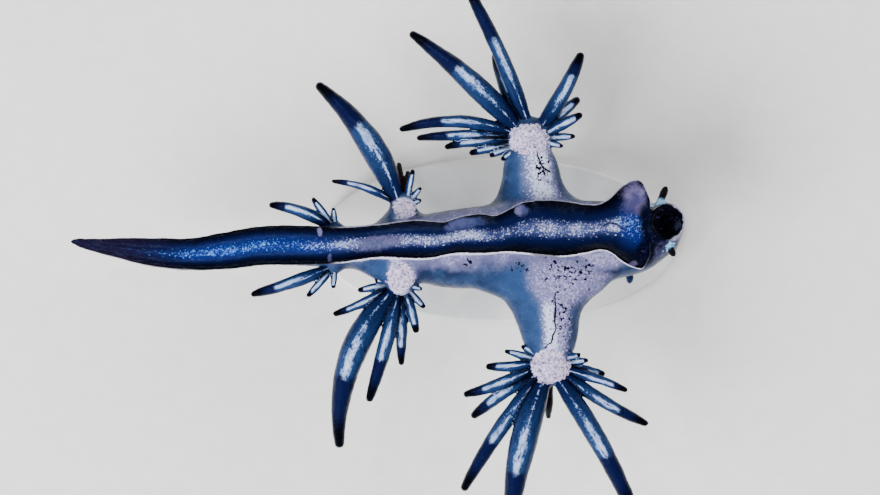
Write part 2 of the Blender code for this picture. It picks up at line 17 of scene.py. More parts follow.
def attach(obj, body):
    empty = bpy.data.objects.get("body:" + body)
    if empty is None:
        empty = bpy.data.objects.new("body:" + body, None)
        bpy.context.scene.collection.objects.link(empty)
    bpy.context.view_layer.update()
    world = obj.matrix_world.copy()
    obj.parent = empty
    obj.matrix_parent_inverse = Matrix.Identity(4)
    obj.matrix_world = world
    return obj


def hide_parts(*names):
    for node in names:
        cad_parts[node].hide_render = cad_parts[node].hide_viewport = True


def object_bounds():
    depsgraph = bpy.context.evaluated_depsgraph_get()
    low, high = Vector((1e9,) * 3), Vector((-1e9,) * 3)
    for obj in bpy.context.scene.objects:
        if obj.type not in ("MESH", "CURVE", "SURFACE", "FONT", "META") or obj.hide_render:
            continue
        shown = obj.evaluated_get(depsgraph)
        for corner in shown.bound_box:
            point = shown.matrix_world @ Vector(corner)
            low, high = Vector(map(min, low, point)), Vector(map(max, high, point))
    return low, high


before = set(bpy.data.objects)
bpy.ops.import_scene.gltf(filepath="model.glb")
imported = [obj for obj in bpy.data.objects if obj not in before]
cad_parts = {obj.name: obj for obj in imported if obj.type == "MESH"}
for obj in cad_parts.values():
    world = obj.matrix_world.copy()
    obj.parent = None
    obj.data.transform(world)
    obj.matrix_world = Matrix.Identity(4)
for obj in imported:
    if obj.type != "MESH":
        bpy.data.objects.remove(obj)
solid_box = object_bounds()
MM = 0.001
box_mm = [[round(v / MM, 1) for v in corner] for corner in solid_box]
print("solids:", len(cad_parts), "pieces, box in mm:", box_mm)

# %% [markdown]
# ## The body's measures
# An animal has no straight edges. We could model it from a cube by pulling points, but then every size hides
# in a mesh. Instead we describe it by a few measured cross-sections and let a smooth curve run through them.
# Each row gives a place along the body and what the body is like there. All sizes are in millimetres, which
# is easier to read, and one scale at the end turns them into Blender's metres.

# %% Rows of measures for the body and the foot
AXIS_HEIGHT = 9.0
TAIL_TIP_X = -28.0
SNOUT_X = 12.0
FOOT_FRONT_X = 9.75

# x, y, rise over AXIS_HEIGHT, half width, half depth, roll in degrees
BODY = (
    (-28.0, -0.10, -0.30, 0.10, 0.10, 0), (-26.8, -0.30, -0.45, 0.38, 0.36, 1),
    (-25.0, -0.54, -0.60, 0.66, 0.62, 2), (-22.9, -0.81, -0.70, 0.90, 0.84, 4),
    (-20.1, -1.00, -0.75, 0.97, 0.98, 6), (-17.8, -0.82, -0.70, 1.08, 1.10, 7),
    (-15.5, -0.51, -0.55, 1.16, 1.20, 8), (-12.9, -0.48, -0.40, 1.20, 1.32, 9),
    (-10.4, -0.52, -0.25, 1.34, 1.50, 11), (-7.7, -0.52, -0.15, 1.60, 1.65, 17),
    (-6.0, -0.58, -0.05, 1.95, 1.90, 20), (-4.2, -0.60, 0.00, 2.45, 2.05, 23),
    (-1.3, -0.50, 0.00, 2.80, 2.20, 25), (2.6, -0.10, 0.00, 2.85, 2.25, 25),
    (6.5, -0.05, 0.00, 2.70, 2.10, 24), (8.7, 0.10, 0.05, 2.45, 1.90, 20),
    (9.9, 0.30, 0.15, 2.12, 1.75, 18), (10.9, 0.72, 0.20, 1.75, 1.55, 15),
    (11.6, 0.80, 0.20, 1.25, 1.25, 14), (12.0, 0.88, 0.20, 0.35, 0.50, 14),
)
# x, y of the foot's right edge and left edge from above, how far each edge curls up
FOOT = (
    (-28.0, 0.00, -0.20, 0.00, 0.00), (-27.6, 0.08, -0.38, 0.00, 0.00),
    (-26.8, 0.10, -0.66, 0.02, 0.01), (-25.0, 0.13, -1.14, 0.04, 0.02),
    (-22.9, 0.15, -1.66, 0.06, 0.03), (-20.1, 0.16, -1.92, 0.08, 0.04), (-17.8, 0.55, -1.89, 0.10, 0.05),
    (-15.5, 0.94, -1.63, 0.12, 0.05), (-12.9, 0.97, -1.58, 0.14, 0.06), (-10.4, 0.91, -1.49, 0.16, 0.08),
    (-7.7, 1.11, -1.15, 0.18, 0.11), (-5.5, 1.37, -1.23, 0.18, 0.13), (-4.2, 1.30, -1.15, 0.20, 0.14),
    (-3.7, 1.27, -1.02, 0.20, 0.14), (-2.8, 1.54, -0.88, 0.22, 0.14), (-1.3, 1.79, -0.89, 0.22, 0.15),
    (-0.2, 1.72, -0.82, 0.22, 0.15), (0.4, 1.98, -0.78, 0.22, 0.15), (1.3, 2.46, -0.84, 0.24, 0.14),
    (2.6, 2.66, -0.97, 0.24, 0.14), (4.2, 2.61, -1.04, 0.26, 0.14), (5.6, 2.40, -0.81, 0.28, 0.18),
    (6.5, 2.46, -0.62, 0.34, 0.23), (7.1, 2.79, -0.78, 0.44, 0.27), (7.9, 3.55, -1.39, 0.60, 0.34),
    (8.7, 3.95, -1.78, 0.66, 0.36), (9.2, 3.85, -1.80, 0.60, 0.33), (9.75, 2.70, -0.90, 0.30, 0.20),
)


def follow(rows, x):
    """The columns of a table at every x, on a smooth curve through its rows."""
    table = np.array(rows, float)
    keys, flat = table[:, 0], np.ravel(x)
    slopes = np.gradient(table, keys, axis=0)
    i = np.clip(np.searchsorted(keys, flat) - 1, 0, len(keys) - 2)
    width = (keys[i + 1] - keys[i])[:, None]
    t = np.clip((flat - keys[i])[:, None] / width, 0, 1)
    value = table[i] * (1 + 2 * t) * (1 - t) ** 2 + slopes[i] * width * t * (1 - t) ** 2
    value += table[i + 1] * t * t * (3 - 2 * t) + slopes[i + 1] * width * t * t * (t - 1)
    return [column.reshape(np.shape(x)).astype(np.float32) for column in value[:, 1:].T]


def at(*place):
    """One point in the form that the measuring functions take: an array for each axis."""
    return [np.array([value], np.float32) for value in place]


trunk = [round(float(column[0]), 2) for column in follow(BODY, *at(0))]
print("trunk at x = 0: y, rise, half width, half depth, roll =", trunk)

# %% [markdown]
# ## Flesh as a distance field
# Soft flesh flows from one part into the next. We could join meshes with Booleans and round every seam, but
# there is an easier clay: a distance field. For any point in space it tells how far the surface is, negative
# inside. Two fields join by taking the smaller distance, and a soft minimum melts the joint like pressed
# clay. Later one call turns the field into a mesh.

# %% Distances and how they melt together
ENDS_ROUNDING = 0.2


def oval_distance(a, b, half_a, half_b):
    """Distance to an oval, near enough close to its surface."""
    near = np.sqrt((a / half_a) ** 2 + (b / half_b) ** 2)
    steep = np.sqrt((a / half_a ** 2) ** 2 + (b / half_b ** 2) ** 2)
    return np.where(near < 0.05, -np.minimum(half_a, half_b), near * (near - 1) / np.maximum(steep, 1e-6))


def melt(a, b, width):
    """The smaller of two distances, rounded off where they are within width of each other."""
    close = np.maximum(width - np.abs(a - b), 0) / width
    return np.minimum(a, b) - close * close * width / 4


def carve(a, b, width):
    """What is left of a once b is taken out of it, with a rounded edge."""
    return -melt(-a, b, width)


def body_place(x, y, z):
    """Where a point lies in the body's own section: across to its right, and out towards its sole."""
    middle_y, rise, half_width, half_depth, roll = follow(BODY, x)
    turn = np.radians(roll)
    dy, dz = y - middle_y, z - AXIS_HEIGHT - rise
    across = dy * np.cos(turn) - dz * np.sin(turn)
    outward = dy * np.sin(turn) + dz * np.cos(turn)
    return across, outward, half_width, half_depth, turn, middle_y


def body_distance(x, y, z):
    across, outward, half_width, half_depth, _, _ = body_place(x, y, z)
    ends = np.maximum(x - SNOUT_X, TAIL_TIP_X - x)
    return -melt(-oval_distance(across, outward, half_width, half_depth), -ends, ENDS_ROUNDING)


probe = [round(float(body_distance(*at(0, 0, z))[0]), 2) for z in (9, 14)]
print("distance inside the trunk and above it:", probe)

# %% [markdown]
# ## The foot
# The foot is a long dark ribbon with thin edges that curl up and wave. Its top has a low ridge down the
# middle between two shallow grooves. In the field it is a slab whose top follows that profile, with rounded
# edges, let into a channel so that its edge stands free of the flank, as the real margin does.

# %% The foot's field
SOLE_GROOVE = 0.09
RIM_THICKNESS = 0.30
SOLE_THICKNESS = 0.75
TIP_THICKNESS = 0.28
TIP_LENGTH = 1.6
EDGE_ROUNDING = 0.13
CHANNEL_WIDER = 0.14
CHANNEL_DEPTH = 0.42


def foot_place(x, y, z):
    """Share of the way from the foot's middle line to its edge, its half width, and height over its top."""
    across, outward, _, half_depth, turn, middle_y = body_place(x, y, z)
    right_y, left_y, right_curl, left_curl = follow(FOOT, x)
    right = (right_y - middle_y - np.sin(turn) * (half_depth + right_curl)) / np.cos(turn)
    left = (left_y - middle_y - np.sin(turn) * (half_depth + left_curl)) / np.cos(turn)
    half = (right - left) / 2
    share = (across - (right + left) / 2) / half
    inner = np.clip(share, -1, 1)
    curl = np.where(inner > 0, right_curl, left_curl)
    groove = SOLE_GROOVE * np.sin(np.pi * np.minimum(1, np.abs(inner) / 0.9)) ** 2
    return share, half, outward - (half_depth + inner ** 4 * curl - groove)


def foot_distance(x, y, z):
    share, half, above = foot_place(x, y, z)
    inner = np.clip(share, -1, 1)
    thickness = RIM_THICKNESS + (SOLE_THICKNESS - RIM_THICKNESS) * (1 - inner ** 2)
    thickness = np.maximum(thickness * np.clip((x - TAIL_TIP_X) / TIP_LENGTH, 0, 1), TIP_THICKNESS)
    out = np.abs(share) * half - (half - EDGE_ROUNDING)
    up = np.abs(above + thickness / 2) - (thickness / 2 - EDGE_ROUNDING)
    front = np.maximum(x - FOOT_FRONT_X, TAIL_TIP_X - x) + EDGE_ROUNDING
    corner = np.sqrt(np.maximum(out, 0) ** 2 + np.maximum(up, 0) ** 2 + np.maximum(front, 0) ** 2)
    return corner + np.minimum(np.maximum(np.maximum(out, up), front), 0) - EDGE_ROUNDING


def foot_channel(x, y, z):
    """The room kept free beside and above the foot."""
    share, half, above = foot_place(x, y, z)
    beside = np.abs(share) * half - half - CHANNEL_WIDER
    return np.maximum(np.maximum(beside, -above - CHANNEL_DEPTH), x - FOOT_FRONT_X - 0.03)


print("foot width at x = 8.7:", round(2 * float(foot_place(*at(8.7, 0, 11))[1][0]), 2), "mm")

# %% [markdown]
# ## Arms and pads
# Four stubby arms carry the fans. Each is an oval stalk that spreads where it leaves the trunk and ends in a
# soft pad. One arm could be mirrored into four, but no two are alike in this pose, so each arm has rows of
# its own, read outwards from the trunk, and a flattened ball for its pad.

# %% The arms' rows and field
# which side, then rows of distance out from the middle, x, z, half width, half depth
ARMS = {
    "front_left": (-1, (
        (0.90, 2.60, 9.60, 4.30, 1.50), (2.60, 2.60, 10.00, 4.55, 1.50), (3.30, 2.75, 10.08, 3.85, 1.46),
        (3.80, 3.00, 10.12, 2.98, 1.43), (4.50, 3.02, 10.11, 2.38, 1.37), (5.25, 3.10, 10.05, 2.08, 1.29),
        (6.25, 3.22, 9.92, 1.84, 1.18), (7.35, 3.28, 9.80, 1.50, 1.00),
    )),
    "front_right": (1, (
        (0.60, 2.70, 8.50, 3.40, 1.35), (1.70, 2.60, 8.15, 3.40, 1.35), (2.40, 2.42, 8.00, 2.85, 1.33),
        (3.10, 2.24, 7.92, 2.34, 1.28), (3.90, 2.13, 7.90, 1.99, 1.22), (4.80, 2.05, 7.95, 1.80, 1.13),
        (5.50, 1.97, 8.03, 1.62, 1.04), (5.95, 1.96, 8.10, 1.40, 0.95),
    )),
    "middle_left": (-1, (
        (1.20, -6.75, 9.35, 2.95, 1.15), (1.70, -6.78, 9.45, 2.65, 1.15), (2.10, -6.72, 9.55, 2.15, 1.08),
        (2.60, -6.55, 9.65, 1.50, 0.96), (2.95, -6.50, 9.70, 1.05, 0.80),
    )),
    "middle_right": (1, (
        (0.50, -6.35, 8.40, 1.90, 1.05), (1.10, -6.40, 8.30, 1.60, 1.00), (1.65, -6.35, 8.25, 1.20, 0.90),
        (2.05, -6.30, 8.20, 0.85, 0.75),
    )),
}
# centre x, y, z, radius, half height
PADS = {
    "front_left": (3.26, -8.12, 9.80, 1.38, 0.95), "front_right": (1.95, 6.63, 8.10, 1.48, 0.95),
    "middle_left": (-6.50, -2.75, 9.70, 0.96, 0.75), "middle_right": (-6.34, 2.30, 8.20, 0.82, 0.65),
    "rear_left": (-10.75, -1.70, 9.20, 0.50, 0.45), "rear_right": (-10.75, 0.75, 8.70, 0.50, 0.45),
}


def arm_distance(name, x, y, z):
    side, rows = ARMS[name]
    middle_x, height, half_width, half_depth = follow(rows, y * side)
    ends = np.maximum(y * side - rows[-1][0], rows[0][0] - y * side)
    return -melt(-oval_distance(x - middle_x, z - height, half_width, half_depth), -ends, 0.3)


def pad_distance(name, x, y, z):
    pad_x, pad_y, pad_z, radius, half_height = PADS[name]
    flat = np.sqrt((x - pad_x) ** 2 + (y - pad_y) ** 2)
    return oval_distance(flat, z - pad_z, np.float32(radius), np.float32(half_height))


print("arms:", len(ARMS), "pads:", len(PADS))

# %% [markdown]
# ## The fingers
# The fingers are called cerata. They grow in a ring round each pad, the longest in the middle of the fan and
# mere buds at its ends. One row describes one finger: the seat and bearing in degrees, its reach, its width,
# its sideways bow, and the rise of its tip. Each becomes a chain of short cones along a bent path, which is
# quick to measure distances to, and each keeps its own place in the fan, so no two look alike.

# %% The fans' rows and the path of one finger
FANS = {
    "front_left": (
        (137, 160, 0.95, 0.50, 0, 0.5), (152, 171, 1.80, 0.54, 0, 0.2),
        (166, 189, 2.90, 0.70, 0.03, 0.4), (184, 204, 4.65, 0.86, 0.03, 0),
        (203, 217, 4.80, 0.93, -0.03, -0.5), (230, 236, 8.60, 1.06, -0.03, -0.3),
        (248, 258, 10.4, 1.78, -0.05, 0.7), (267, 270, 2.20, 0.60, 0, -1.6),
        (297, 300, 9.80, 1.31, 0.03, 0.6), (326, 329, 6.10, 0.90, -0.03, -0.2),
        (344, 341, 3.95, 0.68, 0.02, 0.2), (363, 343, 2.35, 0.58, 0.02, -0.3),
        (377, 355, 1.20, 0.50, 0, 0.3), (389, 362, 0.80, 0.46, 0, 0.5),
    ),
    "front_right": (
        (350, 340, 0.80, 0.46, 0, 0.4), (2, 4, 1.55, 0.52, 0, 0), (13, 32, 2.40, 0.74, 0, 0.5),
        (24, 47, 2.85, 0.78, 0.02, -0.8), (42, 63, 5.20, 1.10, -0.04, 0.4),
        (90, 116, 9.60, 1.03, -0.02, 1.2), (116, 111, 4.60, 1.08, 0.02, -0.7),
        (146, 137, 9.00, 1.52, -0.03, 0.5), (165, 178, 7.10, 0.86, -0.10, 0.3),
        (178, 180, 5.90, 0.76, -0.03, 0), (190, 184, 4.10, 0.70, -0.04, 0.2),
        (200, 190, 2.60, 0.58, 0, 0.3), (209, 197, 1.40, 0.52, 0, 0.4), (219, 215, 0.85, 0.46, 0, 0.5),
    ),
    "middle_left": (
        (178, 172, 0.70, 0.44, 0, 0.3), (193, 190, 1.85, 0.55, 0, 0),
        (206, 206, 3.85, 0.66, 0.04, 0.3), (232, 251, 10.6, 1.76, -0.11, -0.4),
        (266, 254, 7.10, 1.00, 0.01, 0.3), (285, 268, 4.50, 0.84, 0, -0.2),
        (301, 284, 2.55, 0.68, 0.03, 0.2), (320, 310, 1.40, 0.50, 0, 0),
        (338, 350, 0.60, 0.42, 0, 0.3),
    ),
    "middle_right": (
        (0, 38, 0.55, 0.42, 0, 0.3), (20, 62, 1.00, 0.44, 0, 0.2), (45, 86, 1.75, 0.46, 0, 0.6),
        (68, 88, 1.50, 0.46, 0, -0.4), (88, 98, 2.00, 0.50, 0, -0.9),
        (146, 123, 9.00, 1.74, -0.07, -0.2), (167, 160, 4.10, 0.55, -0.07, 0.5),
    ),
    "rear_left": (
        (200, 199, 5.30, 0.85, 0.02, -0.3), (235, 227, 2.20, 0.52, 0, 0.2),
        (275, 262, 1.00, 0.44, 0, 0.3),
    ),
    "rear_right": (
        (165, 159, 4.10, 0.84, -0.07, 0.2), (125, 127, 2.00, 0.52, 0, 0.3),
        (88, 98, 0.90, 0.42, 0, 0.2),
    ),
}
BROWN_FINGERS = (("front_left", 7), ("middle_right", 3), ("middle_right", 4))
# share of the way to the tip, share of the full width
SHORT_GIRTH = ((0.0, 0.55), (0.25, 0.90), (0.5, 1.00), (0.8, 0.92), (1.0, 0.66))
LONG_GIRTH = (
    (0.0, 0.50), (0.12, 0.78), (0.28, 0.97), (0.42, 1.00), (0.60, 0.93),
    (0.78, 0.82), (0.92, 0.68), (1.0, 0.52),
)
STOUT_GIRTH = (
    (0.0, 0.45), (0.12, 0.72), (0.28, 0.97), (0.42, 1.00), (0.60, 0.86),
    (0.78, 0.66), (0.92, 0.48), (1.0, 0.36),
)
LONG_REACH = 3.5
STOUT_WIDTH = 1.4
SEAT_SHARE = 0.45


def bearing(degrees):
    return np.array((math.cos(math.radians(degrees)), math.sin(math.radians(degrees)), 0.0))


def finger_chain(fan, row):
    """Points down the middle of a finger, and its radius at each."""
    seat, heading, reach, width, bow, rise = row
    pad_x, pad_y, pad_z, radius, _ = PADS[fan]
    pad, up = np.array((pad_x, pad_y, pad_z)), np.array((0.0, 0.0, 1.0))
    root = pad + bearing(seat) * radius * SEAT_SHARE
    tip = pad + bearing(seat) * radius + bearing(heading) * reach + up * rise
    girths = STOUT_GIRTH if width > STOUT_WIDTH else LONG_GIRTH if reach > LONG_REACH else SHORT_GIRTH
    tip -= (tip - root) / np.linalg.norm(tip - root) * girths[-1][1] * width / 2
    side = np.cross(up, tip - root)
    side /= np.linalg.norm(side)
    bend = (root + tip) / 2 + side * 2 * bow * reach + up * 0.1 * reach
    share = np.linspace(0, 1, max(8, round(reach * 3)))[:, None]
    points = root * (1 - share) ** 2 + bend * 2 * share * (1 - share) + tip * share ** 2
    return points, np.asarray(follow(girths, share[:, 0])[0], float) * width / 2


fingers = [(fan, i, row, *finger_chain(fan, row)) for fan, rows in FANS.items() for i, row in enumerate(rows)]
print("fingers:", len(fingers), "longest:", max(row[2] for _, _, row, _, _ in fingers), "mm")

# %% [markdown]
# ## The head
# The mouth is a round, thin-lipped disc on the underside of the head, so here it faces us. We set a flat,
# round-edged muzzle on the head and carve a pit into it, and what is left at the rim is the lip. A ring laid
# on top would be easier, but it would look like a part that was added. Two short tentacles flank the mouth,
# and two shorter feelers, the rhinophores, stand out behind it at the neck. Each is a straight chain of cones.

# %% Mouth, muzzle and feelers
MOUTH = np.array((10.87, 1.17, 10.62))
MOUTH_RADIUS = 1.12
MOUTH_TILT = math.radians(10)
MUZZLE_HALF_DEPTH = 0.45
MUZZLE_ROUNDING = 0.05
PIT_DEPTH = 0.38
THROAT_RADIUS, THROAT_DEPTH = 0.46, 0.6
THROAT_FOLDS, FOLD_SHARE = 9, 0.14
# root, tip, root width
FEELERS = (
    ((10.25, 1.95, 9.35), (10.84, 3.50, 9.60), 0.58), ((10.90, -0.10, 9.90), (11.30, -1.10, 10.40), 0.58),
    ((8.75, 1.70, 7.70), (8.85, 2.95, 6.80), 0.62), ((8.50, -1.60, 8.50), (8.52, -2.85, 7.85), 0.62),
)
FEELER_GIRTH = ((0.0, 1.0), (0.35, 0.86), (0.6, 0.80), (0.85, 0.86), (1.0, 0.62))


def mouth_place(x, y, z):
    """How far a point is from the mouth's axis, and how high it is over its rim."""
    dx, dy, dz = x - MOUTH[0], y - MOUTH[1], z - MOUTH[2]
    forward = dx * math.cos(MOUTH_TILT) - dz * math.sin(MOUTH_TILT)
    above = dx * math.sin(MOUTH_TILT) + dz * math.cos(MOUTH_TILT)
    return np.sqrt(forward ** 2 + dy ** 2), above


def feeler_chain(root, tip, width):
    share = np.linspace(0, 1, 10)[:, None]
    step = np.array(tip) - np.array(root)
    points = np.array(root) + step * share * (1 - FEELER_GIRTH[-1][1] * width / 2 / np.linalg.norm(step))
    return points, np.asarray(follow(FEELER_GIRTH, share[:, 0])[0], float) * width / 2


feelers = [feeler_chain(*row) for row in FEELERS]
print("mouth", 2 * MOUTH_RADIUS, "mm across, feelers:", len(feelers))

# %% [markdown]
# ## From the field to one skin
# Now we fill a block of space with distances, a cell about every tenth of a millimetre, and melt the parts
# together: the body with its arms and pads broadly, the fingers with their pads only at the root, the foot
# hardly at all, so that its margin stays crisp. The volume library inside Blender then wraps the zero
# surface in a mesh. Joining balls and pipes with Booleans would leave seams, while this gives one unbroken
# skin, as on the real animal.

# %% Fill the block of space
CELL = 0.115
LOW = np.array((-28.3, -20.0, 6.2))
HIGH = np.array((12.4, 17.2, 13.0))
counts = np.ceil((HIGH - LOW) / CELL).astype(int)
axes = [(LOW[i] + CELL * np.arange(counts[i])).astype(np.float32) for i in range(3)]
FAR = np.float32(1.0)
BODY_BOX = (TAIL_TIP_X - 1, -5, 5), (SNOUT_X + 1, 5, 13)
ARM_MELT, PAD_MELT = 0.7, 0.45


def window(low, high):
    """The slices of the block between two corners, and the places of their cells."""
    first = np.clip(np.floor((np.array(low) - LOW) / CELL).astype(int), 0, counts)
    last = np.clip(np.ceil((np.array(high) - LOW) / CELL).astype(int) + 1, 0, counts)
    cut = tuple(slice(a, b) for a, b in zip(first, last))
    places = np.meshgrid(*[axis[s] for axis, s in zip(axes, cut)], indexing="ij", sparse=True)
    return cut, places


def add_chain(field, points, radii, margin=0.4):
    """Lays a chain of cones into a field."""
    for a, b, start, end in zip(points, points[1:], radii, radii[1:]):
        room = max(start, end) + margin
        cut, (x, y, z) = window(np.minimum(a, b) - room, np.maximum(a, b) + room)
        step = b - a
        t = ((x - a[0]) * step[0] + (y - a[1]) * step[1] + (z - a[2]) * step[2]) / (step @ step)
        t = np.clip(t, 0, 1)
        gap = (x - a[0] - t * step[0]) ** 2 + (y - a[1] - t * step[1]) ** 2 + (z - a[2] - t * step[2]) ** 2
        distance = np.sqrt(gap) - (start + t * (end - start))
        field[cut] = np.minimum(field[cut], distance)


def melt_in(field, distance, low, high, width):
    """Melts a part into the field inside a box round it."""
    cut, places = window(low, high)
    field[cut] = melt(field[cut], distance(*places), width)


def flesh_field():
    """Trunk, arms and pads."""
    field = np.full(counts, FAR, np.float32)
    cut, places = window(*BODY_BOX)
    field[cut] = np.minimum(body_distance(*places), FAR)
    for name, (side, rows) in ARMS.items():
        reach = np.array([(x - w, side * out, z - d) for out, x, z, w, d in rows])
        spread = np.array([(x + w, side * out, z + d) for out, x, z, w, d in rows])
        box = reach.min(0) - 1, spread.max(0) + 1
        melt_in(field, lambda x, y, z, name=name: arm_distance(name, x, y, z), *box, ARM_MELT)
    for name, (x0, y0, z0, radius, _) in PADS.items():
        box = np.array((x0, y0, z0)) - radius - 0.6, np.array((x0, y0, z0)) + radius + 0.6
        melt_in(field, lambda x, y, z, name=name: pad_distance(name, x, y, z), *box, PAD_MELT)
    return field


flesh = flesh_field()
finger_field = np.full(counts, FAR, np.float32)
for _, _, _, points, radii in fingers:
    add_chain(finger_field, points, radii)
feeler_field = np.full(counts, FAR, np.float32)
for points, radii in feelers:
    add_chain(feeler_field, points, radii)
print("cells:", [int(c) for c in counts], "inside the flesh:", int((flesh < 0).sum()))

# %% [markdown]
# The order matters when clay is put together. The channel for the foot is carved first, then the foot is laid
# in it. The muzzle is set on before the mouth is hollowed out, so that the pit cuts through muzzle and head.

# %% Put the parts together
# how broadly each joint melts, and how far each carved edge is rounded
FINGER_MELT, FOOT_MELT, FEELER_MELT, MUZZLE_MELT = 0.12, 0.10, 0.18, 0.30
CHANNEL_EDGE, PIT_EDGE, THROAT_EDGE = 0.08, 0.08, 0.12


def assemble():
    whole = melt(flesh, finger_field, FINGER_MELT)
    cut, places = window(*BODY_BOX)
    whole[cut] = carve(whole[cut], foot_channel(*places), CHANNEL_EDGE)
    whole[cut] = melt(whole[cut], foot_distance(*places), FOOT_MELT)
    whole = melt(whole, feeler_field, FEELER_MELT)
    cut, places = window(MOUTH - 1.8, MOUTH + 1.8)
    out, above = mouth_place(*places)
    muzzle = np.maximum(out - MOUTH_RADIUS, np.abs(above + MUZZLE_HALF_DEPTH) - MUZZLE_HALF_DEPTH)
    whole[cut] = melt(whole[cut], muzzle - MUZZLE_ROUNDING, MUZZLE_MELT)
    pit = oval_distance(out, above - 0.05, np.float32(MOUTH_RADIUS), np.float32(PIT_DEPTH))
    turn = np.arctan2(places[1] - MOUTH[1], places[0] - MOUTH[0])
    folded = out * (1 + FOLD_SHARE * np.sin(THROAT_FOLDS * turn))
    throat = oval_distance(folded, above + 0.3, np.float32(THROAT_RADIUS), np.float32(THROAT_DEPTH))
    whole[cut] = carve(carve(whole[cut], pit, PIT_EDGE), throat, THROAT_EDGE)
    return whole


whole = assemble()
grid = openvdb.FloatGrid(float(FAR))
grid.copyFromArray(whole)
skin_points, skin_quads = grid.convertToQuads(isovalue=0.0)
skin_points = skin_points * CELL + LOW
print("skin:", len(skin_points), "points,", len(skin_quads), "faces")

# %% [markdown]
# The wrapped mesh may come with its faces turned inwards, and a stray bubble could be left in the clay. We
# turn the faces outwards and keep the largest piece only. Every face takes the lowest label of its corners,
# again and again, until all faces that hang together share one label.

# %% Make the skin's mesh
def largest_piece(points, quads):
    """Keeps the faces that hang together with most others."""
    label = np.arange(len(points))
    while True:
        lowest = label[quads].min(axis=1)
        fresh = label.copy()
        for corner in range(4):
            np.minimum.at(fresh, quads[:, corner], lowest)
        fresh = fresh[fresh]
        if (fresh == label).all():
            break
        label = fresh
    names, sizes = np.unique(label[quads[:, 0]], return_counts=True)
    return quads[label[quads[:, 0]] == names[sizes.argmax()]]


def add_object(name, data):
    """Puts a mesh, a lamp or a camera into the scene."""
    piece = bpy.data.objects.new(name, data)
    bpy.context.scene.collection.objects.link(piece)
    return piece


def mesh_object(name, points, faces):
    mesh = bpy.data.meshes.new(name)
    mesh.from_pydata(points.tolist(), [], faces.tolist())
    sculpt = bmesh.new()
    sculpt.from_mesh(mesh)
    bmesh.ops.delete(sculpt, geom=[v for v in sculpt.verts if not v.link_faces], context="VERTS")
    bmesh.ops.recalc_face_normals(sculpt, faces=sculpt.faces)
    sculpt.to_mesh(mesh)
    sculpt.free()
    mesh.shade_smooth()
    return add_object(name, mesh)


skin = mesh_object("skin", skin_points, largest_piece(skin_points, np.asarray(skin_quads)))
print("kept", len(skin.data.polygons), "faces")

# %% [markdown]
# ## Telling the paint where it is
# The colours depend on anatomy: how far along a finger, how near the foot's edge, how far from an arm's
# middle. The field functions already know all that, so we ask them once more for every point of the mesh and
# store the answers as named attributes. The material reads them by name, and no picture is needed.

# %% Helpers that measure the skin
co = np.empty(len(skin.data.vertices) * 3, np.float32)
skin.data.vertices.foreach_get("co", co)
co = co.reshape(-1, 3)
normals = np.empty(len(co) * 3, np.float32)
skin.data.vertex_normals.foreach_get("vector", normals)
normals = normals.reshape(-1, 3)
vx, vy, vz = co.T
facing_up = normals[:, 2]
NOWHERE_NEAR = 9.0


def ramp(value, start, end):
    """0 before start, 1 after end, smooth between."""
    t = np.clip((value - start) / (end - start), 0, 1)
    return t * t * (3 - 2 * t)


def keep(name, values):
    layer = skin.data.attributes.new(name, "FLOAT", "POINT")
    layer.data.foreach_set("value", np.ascontiguousarray(values, np.float32))


def chain_place(points, radii):
    """For the skin's near points: distance to a chain of cones, how far along it and how far across it."""
    room = radii.max() + 0.5
    near = np.flatnonzero(((co > points.min(0) - room) & (co < points.max(0) + room)).all(axis=1))
    step = np.diff(points, axis=0)
    away = co[near][:, None] - points[:-1]
    t = np.clip((away * step).sum(2) / (step * step).sum(1), 0, 1)
    away = away - t[..., None] * step
    radius = radii[:-1] + t * np.diff(radii)
    gap = np.linalg.norm(away, axis=2) - radius
    best, rows = gap.argmin(axis=1), np.arange(len(near))
    side = np.stack((-step[best, 1], step[best, 0]), 1) / np.linalg.norm(step[best, :2], axis=1)[:, None]
    across = (away[rows, best, :2] * side).sum(1) / radius[rows, best]
    return near, gap[rows, best], (best + t[rows, best]) / len(step), across


def ovals(rows):
    """How deep each point lies in the deepest of some ovals, from above: 1 in the middle, 0 on the rim."""
    deepest = np.full(len(co), -1.0)
    for x, y, half_length, half_width, turn in rows:
        a = math.radians(turn)
        forward = (vx - x) * math.cos(a) + (vy - y) * math.sin(a)
        aside = (vy - y) * math.cos(a) - (vx - x) * math.sin(a)
        deepest = np.maximum(deepest, 1 - np.sqrt((forward / half_length) ** 2 + (aside / half_width) ** 2))
    return deepest


print("points to measure:", len(co))

# %% [markdown]
# Where two fingers touch, the paint needs to know which one a point belongs to. Each point goes to its
# nearest finger and remembers how far along and across it lies. The second nearest finger tells where the
# creases between them are, and painted shade darkens them near the roots.

# %% Measure the fingers
first, second = np.full(len(co), NOWHERE_NEAR), np.full(len(co), NOWHERE_NEAR)
of_finger = {name: np.zeros(len(co)) for name in ("along", "across", "size", "seed", "brown")}
for number, (fan, i, row, points, radii) in enumerate(fingers):
    near, gap, share, across = chain_place(points, radii)
    won = gap < first[near]
    second[near] = np.where(won, first[near], np.minimum(second[near], gap))
    hit = near[won]
    first[hit] = gap[won]
    hidden = (1 - SEAT_SHARE) * PADS[fan][3]
    of_finger["along"][hit] = np.clip((share[won] * (hidden + row[2]) - hidden) / row[2], 0, 1)
    of_finger["across"][hit] = across[won]
    of_finger["size"][hit] = row[2]
    of_finger["seed"][hit] = number
    of_finger["brown"][hit] = (fan, i) in BROWN_FINGERS
for name, values in of_finger.items():
    keep("finger_" + name, values)
# the creases between fingers, where shade is painted near the roots
keep("finger_crease_shade", ramp(second, 0.22, 0.02))
print("points on the fingers:", int((first < 0.05).sum()))
